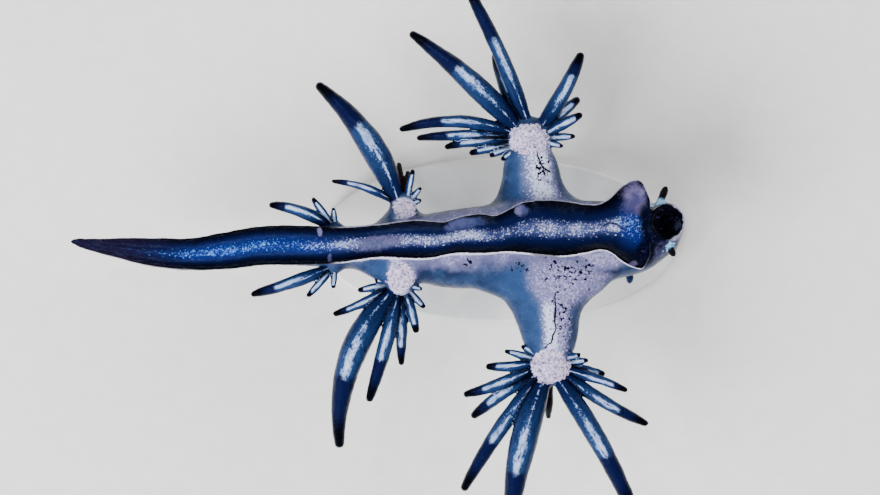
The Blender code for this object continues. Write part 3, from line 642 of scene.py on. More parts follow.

# %% [markdown]
# A few marks sit at places of their own: pale smooth patches on the foot, speckled areas, pale granular pads,
# dark cracks along the arms and a small crescent fold on the foot with a painted highlight on it. Each is a
# row of numbers, an oval or the points of a crack, and noise in the material will fray its rim.

# %% Marks with places of their own
# x, y, half length, half width, turn in degrees
PALE_PATCHES = (
    (-2.33, 1.00, 1.45, 0.42, 12), (1.43, 1.94, 0.52, 0.44, -20), (-7.90, -0.22, 2.05, 0.52, 7),
    (-11.70, 0.55, 0.16, 0.34, 5), (-11.05, -1.17, 0.16, 0.30, -10), (8.80, 2.60, 1.00, 1.25, 0),
    (8.55, -1.55, 0.34, 0.20, 20),
)
SPECKLED = (
    (4.6, -2.0, 2.6, 1.6, 0), (3.9, -4.4, 0.9, 3.2, 0), (-2.0, -1.5, 0.6, 0.5, 0), (1.2, -1.85, 1.2, 0.5, 0),
    (2.7, 4.7, 0.9, 1.6, 0), (10.2, -0.2, 0.8, 1.0, 0),
)
PALE_PADS = (
    (3.27, -8.20, 1.36, 1.20, 0), (1.92, 6.55, 1.40, 1.10, 0), (-6.47, -2.45, 0.95, 1.10, 0),
    (-6.20, 2.10, 0.85, 0.66, -15),
)
NIGHT_BLUE = ((10.35, 1.20, 1.50, 1.75, 0), (9.4, -0.9, 0.7, 0.9, 0))
FOLD_GLINT = ((7.32, 0.74, 0.80, 0.34, -6),)
PALE_NECK = ((6.7, -1.35, 1.9, 1.00, -18),)
CRACKS = (
    ((3.55, -3.44), (3.57, -4.54), (3.53, -5.32), (3.62, -5.71), (3.40, -6.29), (3.29, -6.61), (2.93, -6.98)),
    ((2.42, 5.73), (2.59, 5.21), (2.85, 4.60), (2.98, 4.21)), ((2.51, 4.21), (2.85, 4.51)),
    ((2.94, 4.69), (3.29, 4.43)), ((6.68, 0.91), (6.93, 1.06), (7.24, 1.12), (7.55, 1.03), (7.92, 0.72)),
)


def crack_place():
    """Offset from the nearest crack, with a sign for its side, and how far past its ends."""
    nearest, aside, past = np.full(len(co), 1.0), np.ones(len(co)), np.ones(len(co))
    for line in CRACKS:
        for (ax, ay), (bx, by) in zip(line, line[1:]):
            sx, sy, length = bx - ax, by - ay, math.hypot(bx - ax, by - ay)
            t = ((vx - ax) * sx + (vy - ay) * sy) / length ** 2
            held = np.clip(t, 0, 1)
            gap = np.hypot(vx - ax - held * sx, vy - ay - held * sy)
            won = (gap < nearest) & (facing_up > 0)
            aside[won] = (((vx - ax) * sy - (vy - ay) * sx) / length)[won]
            past[won] = (np.abs(t - held) * length)[won]
            nearest[won] = gap[won]
    return aside, past


keep("patch", ovals(PALE_PATCHES))
keep("speckled", ovals(SPECKLED))
keep("pale_pad", np.where(facing_up > -0.2, ovals(PALE_PADS), -1))
keep("night", ovals(NIGHT_BLUE))
keep("glint", ovals(FOLD_GLINT))
crack_aside, crack_past = crack_place()
keep("crack_aside", crack_aside)
keep("crack_past", crack_past)
print("patches:", len(PALE_PATCHES), "speckled areas:", len(SPECKLED), "cracks:", len(CRACKS))

# %% [markdown]
# The rest follows from the same distances that built the animal. A point belongs to the foot where the
# foot's surface is nearer than the flesh, and to the arm or feeler that it lies closest to. How far out a
# point lies in the body's own section says how high on the flank it is, and the flank's colour follows that.

# %% Measure the foot, the flank, the arms and the head
share, half, _ = foot_place(vx, vy, vz)
across, outward, half_width, half_depth, _, _ = body_place(vx, vy, vz)
foot_gap = foot_distance(vx, vy, vz)
body_gap = oval_distance(across, outward, half_width, half_depth)
arm_gap, arm_side, arm_off = np.full(len(co), NOWHERE_NEAR), np.zeros(len(co)), np.zeros(len(co))
for name, (side, rows) in ARMS.items():
    gap = arm_distance(name, vx, vy, vz)
    middle_x, _, width, _ = follow(rows, vy * side)
    off = (vx - middle_x - 0.35) * 0.55 if name == "front_right" else vx - middle_x
    arm_off = np.where(gap < arm_gap, off, arm_off)
    arm_side = np.where(gap < arm_gap, (vx - middle_x) / width, arm_side)
    arm_gap = np.minimum(gap, arm_gap)
mouth_out, mouth_above = mouth_place(vx, vy, vz)
feeler_gap, feeler_along = np.full(len(co), NOWHERE_NEAR), np.zeros(len(co))
for points, radii in feelers:
    near, gap, part, _ = chain_place(points, radii)
    won = gap < feeler_gap[near]
    feeler_gap[near[won]] = gap[won]
    feeler_along[near[won]] = part[won]
pad_gap = np.minimum.reduce([pad_distance(name, vx, vy, vz) for name in PADS])
flesh_gap = np.minimum.reduce([body_gap, arm_gap, foot_gap, pad_gap])
ridge = 0.4 * ramp(np.abs(share), 0.95, 0.55)
keep("sole", np.minimum(body_gap, arm_gap) - foot_gap + ridge)
keep("sole_across", share)
keep("sole_edge", (1 - np.abs(share)) * half)
keep("finger", flesh_gap - first)
keep("arm", ramp(body_gap - arm_gap, -0.45, 0.35) * ramp(arm_gap, 0.90, 0.30))
keep("arm_across", arm_side)
keep("arm_off", arm_off)
keep("whitening", np.where(vy < -1, ramp(-vy, 2.9, 4.6) * (vx > -2) + (vx < -2), 1.0))
away = ramp(body_gap, 0.3, 1.2)
pale_neck = 0.36 * ramp(ovals(PALE_NECK), 0.0, 0.7)
keep("flank", outward / half_depth * (1 - away) + 0.45 * away + pale_neck)
keep("mouth_out", np.where(mouth_above > -0.9, mouth_out, NOWHERE_NEAR))
keep("mouth_depth", -mouth_above)
keep("feeler", ramp(feeler_gap, 0.08, 0.02))
keep("feeler_gap", np.minimum(feeler_gap, 1.0))
keep("feeler_along", feeler_along)
print("points on the foot:", int((foot_gap < 0.05).sum()), "on the arms:", int((arm_gap < 0.05).sum()))

# %% [markdown]
# ## The paint box
# A node material is a small recipe. It could be wired by hand in the node editor, but one as long as this is
# easier to follow as text. Each helper adds a node, links what it is given and hands back the output. Sizes
# in the noises are in features per millimetre. The helper for dabs is the one that makes the skin lively: it
# throws dabs of paint, few where the density is low and closed where it is high, so no border in the pattern
# is a clean line.

# %% Helpers for node recipes
class Recipe:
    def __init__(self, name):
        self.material = bpy.data.materials.new(name)
        self.material.use_nodes = True
        self.tree = self.material.node_tree
        self.shader = self.tree.nodes["Principled BSDF"]
        scale = self.node("VectorMath", self.node("TexCoord").outputs["Object"], operation="SCALE")
        scale.inputs["Scale"].default_value = 1 / MM
        self.mm = scale.outputs[0]

    def put(self, socket, value):
        if isinstance(value, bpy.types.NodeSocket):
            self.tree.links.new(value, socket)
        elif socket.type == "RGBA":
            socket.default_value = (*value, 1.0)
        else:
            socket.default_value = value

    def node(self, kind, *values, **settings):
        """Adds a node, sets it and fills its first inputs in their order."""
        node = self.tree.nodes.new("ShaderNode" + kind)
        for name, value in settings.items():
            setattr(node, name, value)
        for socket, value in zip(node.inputs, values):
            self.put(socket, value)
        return node

    def attribute(self, name):
        return self.node("Attribute", attribute_name=name).outputs["Fac"]

    def place(self, axis):
        """Millimetres along the X or Y axis."""
        return self.node("SeparateXYZ", self.mm).outputs[axis]

    def facing_up(self):
        """1 where the surface looks straight up, 0 where it is upright."""
        return self.node("SeparateXYZ", self.node("NewGeometry").outputs["Normal"]).outputs["Z"]

    def maths(self, operation, a, b=0.0):
        return self.node("Math", a, b, operation=operation).outputs[0]

    def times(self, *values):
        product = values[0]
        for value in values[1:]:
            product = self.maths("MULTIPLY", product, value)
        return product

    def plus(self, a, b):
        return self.maths("ADD", a, b)

    def less(self, a, b):
        return self.maths("SUBTRACT", a, b)

    def larger(self, a, b):
        return self.maths("MAXIMUM", a, b)

    def stray(self, value, noise, amount):
        """A value that noise lets stray by half the amount to both sides."""
        return self.plus(value, self.times(self.plus(noise, -0.5), amount))

    def without(self, a, b):
        """What is left of mask a outside mask b."""
        return self.times(a, self.less(1.0, b))

    def rise(self, value, start, end, low=0.0, high=1.0):
        """A smooth step of a value, from low to high."""
        step = self.node("MapRange", value, start, end, low, high, interpolation_type="SMOOTHSTEP")
        return step.outputs[0]

    def between(self, mask, outside, inside):
        """One number outside a mask and another inside it."""
        return self.rise(mask, 0.0, 1.0, outside, inside)

    def mix(self, share, under, over):
        node = self.node("Mix", data_type="RGBA")
        colours = [socket for socket in node.inputs if socket.type == "RGBA"]
        self.put(node.inputs["Factor"], share)
        self.put(colours[0], under)
        self.put(colours[1], over)
        return next(socket for socket in node.outputs if socket.type == "RGBA")

    def noise(self, scale, detail=2.0, roughness=0.5, stretch=None, where=None):
        where = where or self.mm
        if stretch:
            where = self.node("Mapping", where, (0, 0, 0), (0, 0, 0), stretch).outputs[0]
        node = self.node("TexNoise", where)
        for name, value in (("Scale", scale), ("Detail", detail), ("Roughness", roughness)):
            node.inputs[name].default_value = value
        return self.node("MapRange", node.outputs["Fac"], 0.30, 0.70, 0.0, 1.0).outputs[0]

    def grains(self, scale):
        """Distance from the middle of each grain."""
        node = self.node("TexVoronoi", self.mm)
        node.inputs["Scale"].default_value = scale
        return node.outputs["Distance"]

    def dabs(self, noise, density):
        """Dabs of paint: none at density 0, closed at density 1."""
        return self.rise(self.plus(noise, density), 1.0, 1.12)

    def bump(self, height, strength, distance):
        node = self.node("Bump", strength, distance * MM)
        self.put(node.inputs["Height"], height)
        self.put(self.shader.inputs["Normal"], node.outputs[0])

    def finish(self, colour, roughness, **sockets):
        self.put(self.shader.inputs["Base Color"], colour)
        self.put(self.shader.inputs["Roughness"], roughness)
        for name, value in sockets.items():
            self.shader.inputs[name.replace("_", " ")].default_value = value
        return self.material


print("recipe helpers ready")

# %% [markdown]
# ## The flesh
# Seen from above the animal hides against the dark water below it. The flanks are silver-lavender beside the
# foot and turn steel blue further down, partly their own colour and partly painted shade where they curve
# away. Each arm has a bright silver ridge, steel blue on the tail's side of it and lavender with black specks
# on the head's side, and it darkens towards both its outlines as painted shade. The back, which hangs down
# here, is silver grey. We paint as a model painter does: a ground first, then thin coats over it, each through
# a frayed mask.

# %% Mix the flesh
BLACK = (0.0006, 0.0006, 0.0016)
INK = (0.001, 0.0015, 0.008)
NAVY = (0.002, 0.0036, 0.024)
STEEL = (0.008, 0.015, 0.044)
MID_STEEL = (0.016, 0.032, 0.082)
LIGHT_STEEL = (0.0165, 0.044, 0.125)
STEEL_DAB = (0.034, 0.078, 0.190)
LAVENDER = (0.125, 0.122, 0.245)
PALE_LAVENDER = (0.25, 0.235, 0.40)
SILVER = (0.26, 0.31, 0.52)
RIDGE_SILVER = (0.44, 0.47, 0.64)
BACK_GREY = (0.15, 0.18, 0.26)
TAIL_DARK, TAIL_BLUE = (0.006, 0.010, 0.036), (0.020, 0.034, 0.110)
PAD_SHADE, PAD_PALE, PAD_SPECK = (0.19, 0.155, 0.29), (0.52, 0.46, 0.62), (0.050, 0.045, 0.110)


def arm_colour(r, steel, flank, cloud, fine):
    whitening = r.attribute("whitening")
    across = r.stray(r.attribute("arm_across"), cloud, 0.16)
    off = r.stray(r.attribute("arm_off"), cloud, 0.14)
    # painted shade: steel at the arm's outline, lighter steel towards its middle
    colour = r.mix(r.rise(across, -1.10, -0.05), steel, LIGHT_STEEL)
    colour = r.mix(r.times(r.dabs(fine, 0.30), 0.30), colour, STEEL_DAB)
    colour = r.mix(r.times(r.rise(off, 0.10, 0.60), r.rise(flank, -0.30, 0.35)), colour, LAVENDER)
    # painted shade: steel again towards the arm's other outline
    colour = r.mix(r.rise(across, 0.40, 0.85), colour, steel)
    shoulder = r.without(r.times(r.rise(off, -1.30, -0.20), r.rise(flank, -0.10, 0.45)), whitening)
    shoulder = r.times(shoulder, r.rise(r.facing_up(), 0.10, 0.60))
    colour = r.mix(shoulder, colour, r.mix(r.dabs(fine, 0.45), LAVENDER, PALE_LAVENDER))
    ridge = r.times(r.rise(off, -0.80, 0.00), r.rise(off, 0.78, 0.30), whitening)
    colour = r.mix(r.times(ridge, 0.6), colour, PALE_LAVENDER)
    beside = r.times(r.rise(off, 0.35, 0.60), r.rise(across, 0.95, 0.50))
    colour = r.mix(r.dabs(fine, r.times(beside, 0.55)), colour, PALE_LAVENDER)
    crest = r.mix(r.times(ridge, ridge), SILVER, RIDGE_SILVER)
    return r.mix(r.dabs(fine, r.times(ridge, 0.72)), colour, crest)


def flesh_colour(r, x, cloud, fine):
    height = r.attribute("flank")
    flank = r.stray(height, cloud, 0.22)
    steel = r.mix(r.rise(r.noise(0.9, 4.0, 0.65), 0.25, 0.80), STEEL, MID_STEEL)
    # partly painted shade: lavender high on the flank, steel lower down where it curves away
    colour = r.mix(r.rise(flank, 0.48, 0.92), steel, LAVENDER)
    colour = r.mix(r.dabs(fine, r.rise(flank, 0.65, 1.00, 0.0, 0.60)), colour, PALE_LAVENDER)
    colour = r.mix(r.attribute("arm"), colour, arm_colour(r, steel, flank, cloud, fine))
    colour = r.mix(r.rise(height, -0.30, -0.75, 0.0, 0.85), colour, BACK_GREY)
    tail = r.times(r.rise(x, -12.0, -19.0), r.rise(flank, -0.9, 0.3, 0.35, 0.95))
    return r.mix(tail, colour, r.mix(r.dabs(fine, 0.3), TAIL_DARK, TAIL_BLUE))


def flesh_marks(r, colour, fine, coarse):
    """Dark specks, the pale granular pads and the cracks, and the masks of the last two."""
    area = r.attribute("speckled")
    specks = r.dabs(r.noise(4.6), r.rise(area, 0.0, 0.8, 0.08, 0.42))
    colour = r.mix(r.times(specks, r.rise(area, 0.0, 0.15)), colour, INK)
    pad = r.rise(r.stray(r.attribute("pale_pad"), coarse, 0.30), 0.04, 0.10)
    tone = r.mix(r.rise(fine, 0.15, 0.75), PAD_SHADE, PAD_PALE)
    tone = r.mix(r.times(r.dabs(r.noise(4.2), 0.26), 0.75), tone, PAD_SPECK)
    colour = r.mix(pad, colour, tone)
    aside = r.maths("ABSOLUTE", r.stray(r.attribute("crack_aside"), coarse, 0.09))
    crack = r.times(r.rise(aside, 0.068, 0.032), r.rise(r.attribute("crack_past"), 0.10, 0.0))
    return r.mix(crack, colour, BLACK), pad, crack


print("colours of the flesh are ready")

# %% [markdown]
# ## The foot's colours
# The foot is near black inside its edge and navy towards its middle, where a band of silver specks runs from
# the head to the root of the tail. On the tail and at the head the specks turn blue. Smooth pale films lie
# over it in places, and a fine pale line rims it, made brighter on the animal's left by painted light.

# %% Mix the foot
BLUE = (0.004, 0.0125, 0.115)
BRIGHT_BLUE, TAIL_SPECK, HEAD_SPECK = (0.03, 0.11, 0.46), (0.05, 0.20, 0.46), (0.05, 0.16, 0.55)
STEEL_HAZE = (0.055, 0.075, 0.210)
SILVER_SPARK, BLUE_SPARK = (0.38, 0.41, 0.56), (0.10, 0.30, 0.72)
# a painted highlight on the crescent fold
FOLD_HIGHLIGHT = (0.28, 0.32, 0.50)
TIP_VIOLET, TIP_BLUE = (0.005, 0.0026, 0.010), (0.008, 0.012, 0.055)
GREY_FILM = (0.028, 0.034, 0.092), (0.082, 0.078, 0.165)
VIOLET_FILM = (0.036, 0.034, 0.105), (0.090, 0.074, 0.150)
DIM_FILM = (0.016, 0.028, 0.090)
# the pale edge line: grey, and brighter where light is painted on the left
GREY_LINE, LIT_EDGE_LINE = (0.22, 0.22, 0.31), (0.48, 0.46, 0.60)


def foot_colour(r, x, cloud, fine):
    aside = r.attribute("sole_across")
    off = r.stray(r.maths("ABSOLUTE", aside), cloud, 0.10)
    tail, tip, head = r.rise(x, -8.5, -13.5), r.rise(x, -17.5, -24.0), r.rise(x, 7.2, 8.3)
    ends = r.larger(tail, head)
    colour = r.mix(r.rise(off, 0.90, 0.40), BLACK, NAVY)
    glow = r.times(r.rise(off, 0.66, 0.10), r.between(ends, 0.18, 0.85), r.between(tip, 1.0, 0.12))
    colour = r.mix(glow, colour, BLUE)
    thin = r.times(r.rise(x, -1.3, -0.5), r.rise(x, 1.5, 0.7))
    uneven = r.times(r.rise(r.noise(0.42), 0.10, 0.75, 0.60, 1.0), r.between(thin, 1.0, 0.60))
    density = r.times(r.rise(off, 0.50, 0.04), uneven, r.between(tail, 0.64, 0.50), r.between(tip, 1.0, 0.50))
    colour = r.mix(r.rise(density, 0.05, 0.60, 0.0, 0.8), colour, r.mix(ends, STEEL_HAZE, BLUE))
    blues = r.mix(r.rise(cloud, 0.3, 0.8), BRIGHT_BLUE, TAIL_SPECK)
    speck = r.mix(head, r.mix(r.rise(x, -9.0, -15.0), SILVER, blues), HEAD_SPECK)
    speck = r.mix(r.rise(fine, 0.2, 0.8, 0.0, r.between(tail, 0.6, 0.1)), speck, LAVENDER)
    stipple = r.noise(6.5, 3.0, 0.7)
    colour = r.mix(r.dabs(stipple, density), colour, speck)
    spark = r.dabs(r.noise(7.5), r.times(density, r.between(ends, 0.70, 0.40)))
    colour = r.mix(spark, colour, r.mix(ends, SILVER_SPARK, BLUE_SPARK))
    # painted highlight: a silver glint on the crescent fold
    glint = r.dabs(stipple, r.rise(r.attribute("glint"), 0.0, 0.7, 0.0, 0.66))
    colour = r.mix(glint, colour, FOLD_HIGHLIGHT)
    tip_colour = r.mix(r.dabs(fine, 0.26), TIP_VIOLET, TIP_BLUE)
    colour = r.mix(r.rise(x, -19.0, -26.0, 0.0, 0.85), colour, tip_colour)
    colour = foot_film(r, colour, x, cloud, fine)
    front = r.larger(r.times(r.rise(x, 8.9, 9.6), r.rise(aside, 0.70, 0.35)), r.rise(x, 9.35, 9.65))
    return r.mix(front, colour, BLACK)


def foot_film(r, colour, x, cloud, fine):
    """The smooth films, more violet by the head and dim on the long patch at the middle."""
    depth = r.stray(r.stray(r.attribute("patch"), cloud, 0.45), fine, 0.28)
    tone = r.rise(cloud, 0.2, 0.8)
    film = r.mix(r.rise(x, 7.6, 8.6), r.mix(tone, *GREY_FILM), r.mix(tone, *VIOLET_FILM))
    film = r.mix(r.times(r.rise(x, -4.8, -4.2), r.rise(x, -0.4, -1.2), 0.65), film, DIM_FILM)
    return r.mix(r.rise(depth, -0.12, 0.42, 0.0, 0.92), colour, film)


def foot_edge(r, colour, x, coarse):
    """The pale line along the edge: finer and, as painted light, brighter on the left, and faint there by the
    front arm.
    """
    left = r.rise(r.attribute("sole_across"), 0.1, -0.1)
    faint = r.times(r.rise(x, 1.7, 2.4), r.rise(x, 4.2, 3.3), left)
    width = r.stray(r.between(left, 0.097, r.rise(x, 4.5, 7.0, 0.060, 0.030)), coarse, 0.04)
    line = r.rise(r.less(r.attribute("sole_edge"), width), 0.025, -0.01)
    line = r.times(line, r.rise(x, -11.2, -9.8), r.between(faint, 1.0, 0.25))
    # painted light: the line is brighter on the animal's left
    return r.mix(line, colour, r.mix(left, GREY_LINE, LIT_EDGE_LINE))


print("colours of the foot are ready")

# %% [markdown]
# ## The fingers' colours
# The fingers are navy at the root, with a silver stripe that widens outwards and stops short of the dark tip,
# sooner on long fingers than on short ones. Round the stripe lies a sheen and in its core a highlight, both
# partly the fingers' own silver and partly a painted reflection of the sky on their upper sides, and their
# undersides are painted darker as shade. The noise for the stripe runs along each finger and starts at a
# number of its own, so the streaks follow the finger and no two fingers carry the same ones.

# %% Mix the fingers
FINGER_SHADE, FINGER_BLUE = (0.004, 0.009, 0.036), (0.0085, 0.026, 0.088)
TIP_NAVY = (0.0024, 0.0036, 0.026)
STRIPE_RIM = (0.060, 0.130, 0.300)
STRIPE_BLUE, STRIPE_SILVER = (0.130, 0.210, 0.400), (0.40, 0.46, 0.66)
# the stripe's core, partly its own silver and partly a painted highlight
STRIPE_CORE_AND_HIGHLIGHT = (0.42, 0.47, 0.66)
FLECK = (0.070, 0.120, 0.270)
BROWN = (0.009, 0.005, 0.005)


def finger_streaks(r, along, across, size):
    apart = r.times(r.attribute("finger_seed"), 3.7)
    where = r.node("CombineXYZ", r.times(along, size), r.times(across, 1.6), apart).outputs[0]
    return r.noise(2.2, 4.0, 0.65, (0.6, 1.0, 1.0), where)


def finger_colour(r, fine):
    along, across, size = [r.attribute("finger_" + name) for name in ("along", "across", "size")]
    streak, up = finger_streaks(r, along, across, size), r.facing_up()
    end = r.less(r.stray(along, streak, 0.06), r.rise(size, 1.0, 9.0, 0.86, 0.58))
    before_end = r.rise(end, 0.025, -0.025)
    # painted shade: navy on the fingers' undersides, their own blues on top
    colour = r.mix(r.rise(up, 0.0, 0.85), NAVY, r.mix(streak, FINGER_SHADE, FINGER_BLUE))
    colour = r.mix(r.rise(along, 0.34, 0.04, 0.0, 0.85), colour, NAVY)
    # painted shade: the dark tips are ink underneath and navy on top
    colour = r.mix(before_end, r.mix(r.rise(up, 0.2, 1.0), INK, TIP_NAVY), colour)
    # how wide the stripe is, and how far inside it a point lies: 1 on its middle, 0 on its edge
    grown, small = r.rise(along, 0.05, 0.58), r.rise(size, 4.2, 1.5)
    reach = r.larger(r.between(grown, 0.14, 0.60), r.times(small, 0.66))
    middle = r.maths("ABSOLUTE", r.plus(across, 0.08))
    inside = r.less(1.0, r.maths("DIVIDE", middle, reach))
    shown = r.times(before_end, r.rise(up, 0.20, 0.55))
    # partly painted reflection: a sheen round the stripe on the fingers' upper sides
    sheen = r.times(r.rise(inside, -0.5, 0.6, 0.0, 0.6), shown, r.larger(grown, small))
    colour = r.mix(sheen, colour, LIGHT_STEEL)
    density = r.larger(r.between(grown, 0.45, 0.85), r.times(small, 0.90))
    stripe = r.dabs(streak, r.times(r.rise(inside, -0.15, 0.75), density))
    stripe_colour = r.mix(r.rise(inside, 0.1, 0.9), STRIPE_RIM, r.mix(streak, STRIPE_BLUE, STRIPE_SILVER))
    colour = r.mix(r.times(stripe, shown), colour, stripe_colour)
    # partly painted highlight: the stripe's bright core
    core = r.times(r.rise(inside, 0.20, 0.95), r.larger(r.rise(along, 0.22, 0.52), r.times(small, 0.80)))
    core = r.rise(r.plus(streak, r.times(core, 0.70)), 0.92, 1.65)
    colour = r.mix(r.times(core, shown), colour, STRIPE_CORE_AND_HIGHLIGHT)
    flecks = r.dabs(fine, r.times(r.rise(inside, -0.6, 0.5, 0.0, 0.42), r.rise(size, 1.5, 5.0)))
    colour = r.mix(r.times(flecks, shown, r.rise(along, 0.60, 0.30)), colour, FLECK)
    pits = r.times(r.dabs(r.noise(5.5), 0.20), r.rise(inside, -0.3, 0.3), r.rise(size, 2.0, 4.0), 0.75)
    colour = r.mix(pits, colour, NAVY)
    colour = r.mix(r.rise(r.plus(along, r.times(small, -0.04)), 0.78, 0.94), colour, BLACK)
    # painted shade: black in the creases between fingers near their roots
    colour = r.mix(r.times(r.attribute("finger_crease_shade"), r.rise(along, 0.80, 0.30)), colour, BLACK)
    return r.mix(r.attribute("finger_brown"), colour, BROWN)


print("colours of the fingers are ready")

# %% [markdown]
# ## The head's colours
# The mouth's cup is nearly black with a few violet glints, and the front of its rim carries a painted
# highlight of pale grey. Between mouth and foot the head is night blue. The skin beside the two front feelers
# is a watery blue, as are their roots, and all four feelers end in dark tips.

# %% Mix the head
HEAD_SHADE, HEAD_VIOLET = (0.022, 0.020, 0.060), (0.090, 0.080, 0.190)
NIGHT_GLINT, CUP_GLINT = (0.018, 0.014, 0.060), (0.020, 0.012, 0.060)
CYAN, PALE_CYAN = (0.08, 0.30, 0.52), (0.24, 0.46, 0.68)
ROOT_SHADE, ROOT_PALE = (0.030, 0.060, 0.130), (0.26, 0.46, 0.64)
REAR_TIP, FRONT_TIP = (0.003, 0.010, 0.035), (0.004, 0.002, 0.003)


def mouth_colour(r, colour, x, fine, coarse):
    """The painted highlight of grey on the front of the rim and the dark cup, and the cup's mask."""
    out = r.attribute("mouth_out")
    lip = r.times(r.rise(out, 1.32, 1.26), r.rise(r.attribute("mouth_depth"), 0.30, 0.10))
    lip = r.times(lip, r.rise(x, 10.8, 11.3), r.rise(coarse, 0.1, 0.8, 0.55, 1.0))
    # painted highlight: pale grey on the front of the rim
    colour = r.mix(lip, colour, GREY_LINE)
    cup = r.plus(out, r.rise(x, 10.9, 11.4, 0.0, 0.09))
    cup = r.rise(r.stray(cup, coarse, 0.10), 1.19, 1.13)
    return r.mix(cup, colour, r.mix(r.dabs(fine, 0.20), BLACK, CUP_GLINT)), cup


def head_colour(r, colour, x, cloud, fine, coarse):
    on_head = r.times(r.rise(x, 9.7, 10.1), r.rise(r.attribute("flank"), 0.0, 0.5), 0.75)
    colour = r.mix(on_head, colour, r.mix(r.dabs(fine, 0.35), HEAD_SHADE, HEAD_VIOLET))
    night = r.rise(r.stray(r.attribute("night"), cloud, 0.3), -0.10, 0.30)
    colour = r.mix(night, colour, r.mix(r.dabs(fine, 0.20), INK, NIGHT_GLINT))
    watery_side = r.rise(r.place("Y"), 1.6, 2.1, -0.08, 0.40)
    top = r.rise(r.plus(r.facing_up(), watery_side), 0.35, 0.75)
    ahead = r.rise(x, 9.4, 9.9)
    beside = r.dabs(fine, r.times(r.rise(r.attribute("feeler_gap"), 0.60, 0.15), top, 0.85))
    watery = r.mix(r.rise(fine, 0.2, 0.8), CYAN, PALE_CYAN)
    colour = r.mix(r.times(beside, ahead), colour, watery)
    colour, cup = mouth_colour(r, colour, x, fine, coarse)
    pale_root = r.mix(r.rise(fine, 0.3, 0.7), CYAN, ROOT_PALE)
    root = r.mix(r.times(ahead, r.between(top, 0.25, 1.0)), ROOT_SHADE, pale_root)
    point = r.rise(r.stray(r.attribute("feeler_along"), coarse, 0.10), 0.46, 0.60)
    feeler = r.mix(point, root, r.mix(ahead, REAR_TIP, FRONT_TIP))
    return r.mix(r.attribute("feeler"), colour, feeler), cup


print("colours of the head are ready")

# %% [markdown]
# ## All layers over each other
# Now the layers go over each other in the order in which they lie on the animal: flesh, foot, fingers, head.
# Wet skin mirrors sharply, so the finish is smooth, with a blue tint in what it mirrors. The cracks are
# pressed in and the pads stand out in fine grains, by a bump that turns the shading and not the mesh.

# %% Finish the skin
WATER_IOR = 1.33
BLUE_TINT = (0.45, 0.62, 1.0, 1.0)


def skin_material():
    r = Recipe("slug_skin")
    cloud, coarse, fine = r.noise(1.1, 4.0, 0.6), r.noise(3.4, 3.0, 0.6), r.noise(6.5, 3.0, 0.65)
    x = r.place("X")
    colour, pad, crack = flesh_marks(r, flesh_colour(r, x, cloud, fine), fine, coarse)
    sole = foot_edge(r, foot_colour(r, x, cloud, fine), x, coarse)
    sole = r.mix(r.times(crack, 0.85), sole, INK)
    colour = r.mix(r.rise(r.attribute("sole"), 0.0, 0.04), colour, sole)
    finger = r.rise(r.attribute("finger"), -0.02, 0.04)
    colour = r.mix(r.without(finger, r.times(pad, 0.9)), colour, finger_colour(r, fine))
    colour, cup = head_colour(r, colour, x, cloud, fine, coarse)
    grain = r.times(r.grains(7.0), r.between(pad, 0.10, 1.2))
    r.bump(r.less(r.plus(r.times(fine, 0.35), grain), crack), 0.6, 0.05)
    roughness = r.plus(r.between(cloud, 0.20, 0.30), r.plus(r.times(pad, 0.35), r.times(cup, -0.12)))
    return r.finish(colour, roughness, IOR=WATER_IOR, Specular_IOR_Level=0.40, Specular_Tint=BLUE_TINT)


skin.data.materials.append(skin_material())
print("skin nodes:", len(skin.data.materials[0].node_tree.nodes))

# %% [markdown]
# A field is too smooth for an animal. A displacement modifier could roughen it, but a few lines do it here
# and now: each point is pushed in or out a few hundredths of a millimetre by noise, more on the granular pads
# and not at all round the mouth. The skin then goes to real size and takes the place of all the flesh.

# %% Give the skin relief and set it in its place
# features per millimetre, height in millimetres
LUMPS = ((0.9, 0.035), (2.6, 0.018))
PAD_GRAIN = (4.5, 0.07)


def relief(point, grain):
    """Millimetres by which living skin strays from the smooth field: lumps, and grains on the pads."""
    lumps = sum(noise.noise(point * often) * height for often, height in LUMPS)
    return lumps + grain * noise.noise(point * PAD_GRAIN[0]) * PAD_GRAIN[1]


grainy = ramp(ovals(PALE_PADS), 0.0, 0.2) * ramp(facing_up, 0.0, 0.4)
pushed = [relief(Vector(point), grain) for point, grain in zip(co.tolist(), grainy.tolist())]
calm = ramp(mouth_out, 1.2, 1.6)
co += normals * (np.array(pushed, np.float32) * calm)[:, None]
skin.data.vertices.foreach_set("co", np.ascontiguousarray(co * MM, np.float32).ravel())
skin.data.update()
flesh_nodes = [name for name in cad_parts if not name.startswith("stand_")]
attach(skin, "root")
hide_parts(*flesh_nodes)
print("the skin stands for", len(flesh_nodes), "pieces")

# %% [markdown]
# ## The stand
# A swimmer needs something to rest on. The base is a flat oval with a softly rounded edge, cast in pale
# resin, and two bright steel pins with a small collar go up into the animal. All three could be scaled
# cylinders with bevels. We stack rings of points and bridge them face by face, so that one short function
# makes the oval base and the round pins, and each edge gets just the curve it needs.

# %% Build the base and the pins
BASE_LENGTH, BASE_WIDTH, BASE_THICKNESS, BASE_EDGE = 24.0, 11.0, 1.5, 0.25
PINS = {"stand_rod_rear": (-5.0, -0.4), "stand_rod_front": (5.2, -0.1)}
# radius and height, from the collar on the base up into the flesh
PIN_PROFILE = ((0.86, 1.45), (0.86, 1.70), (0.80, 1.78), (0.56, 1.84), (0.50, 1.92), (0.50, 7.6))


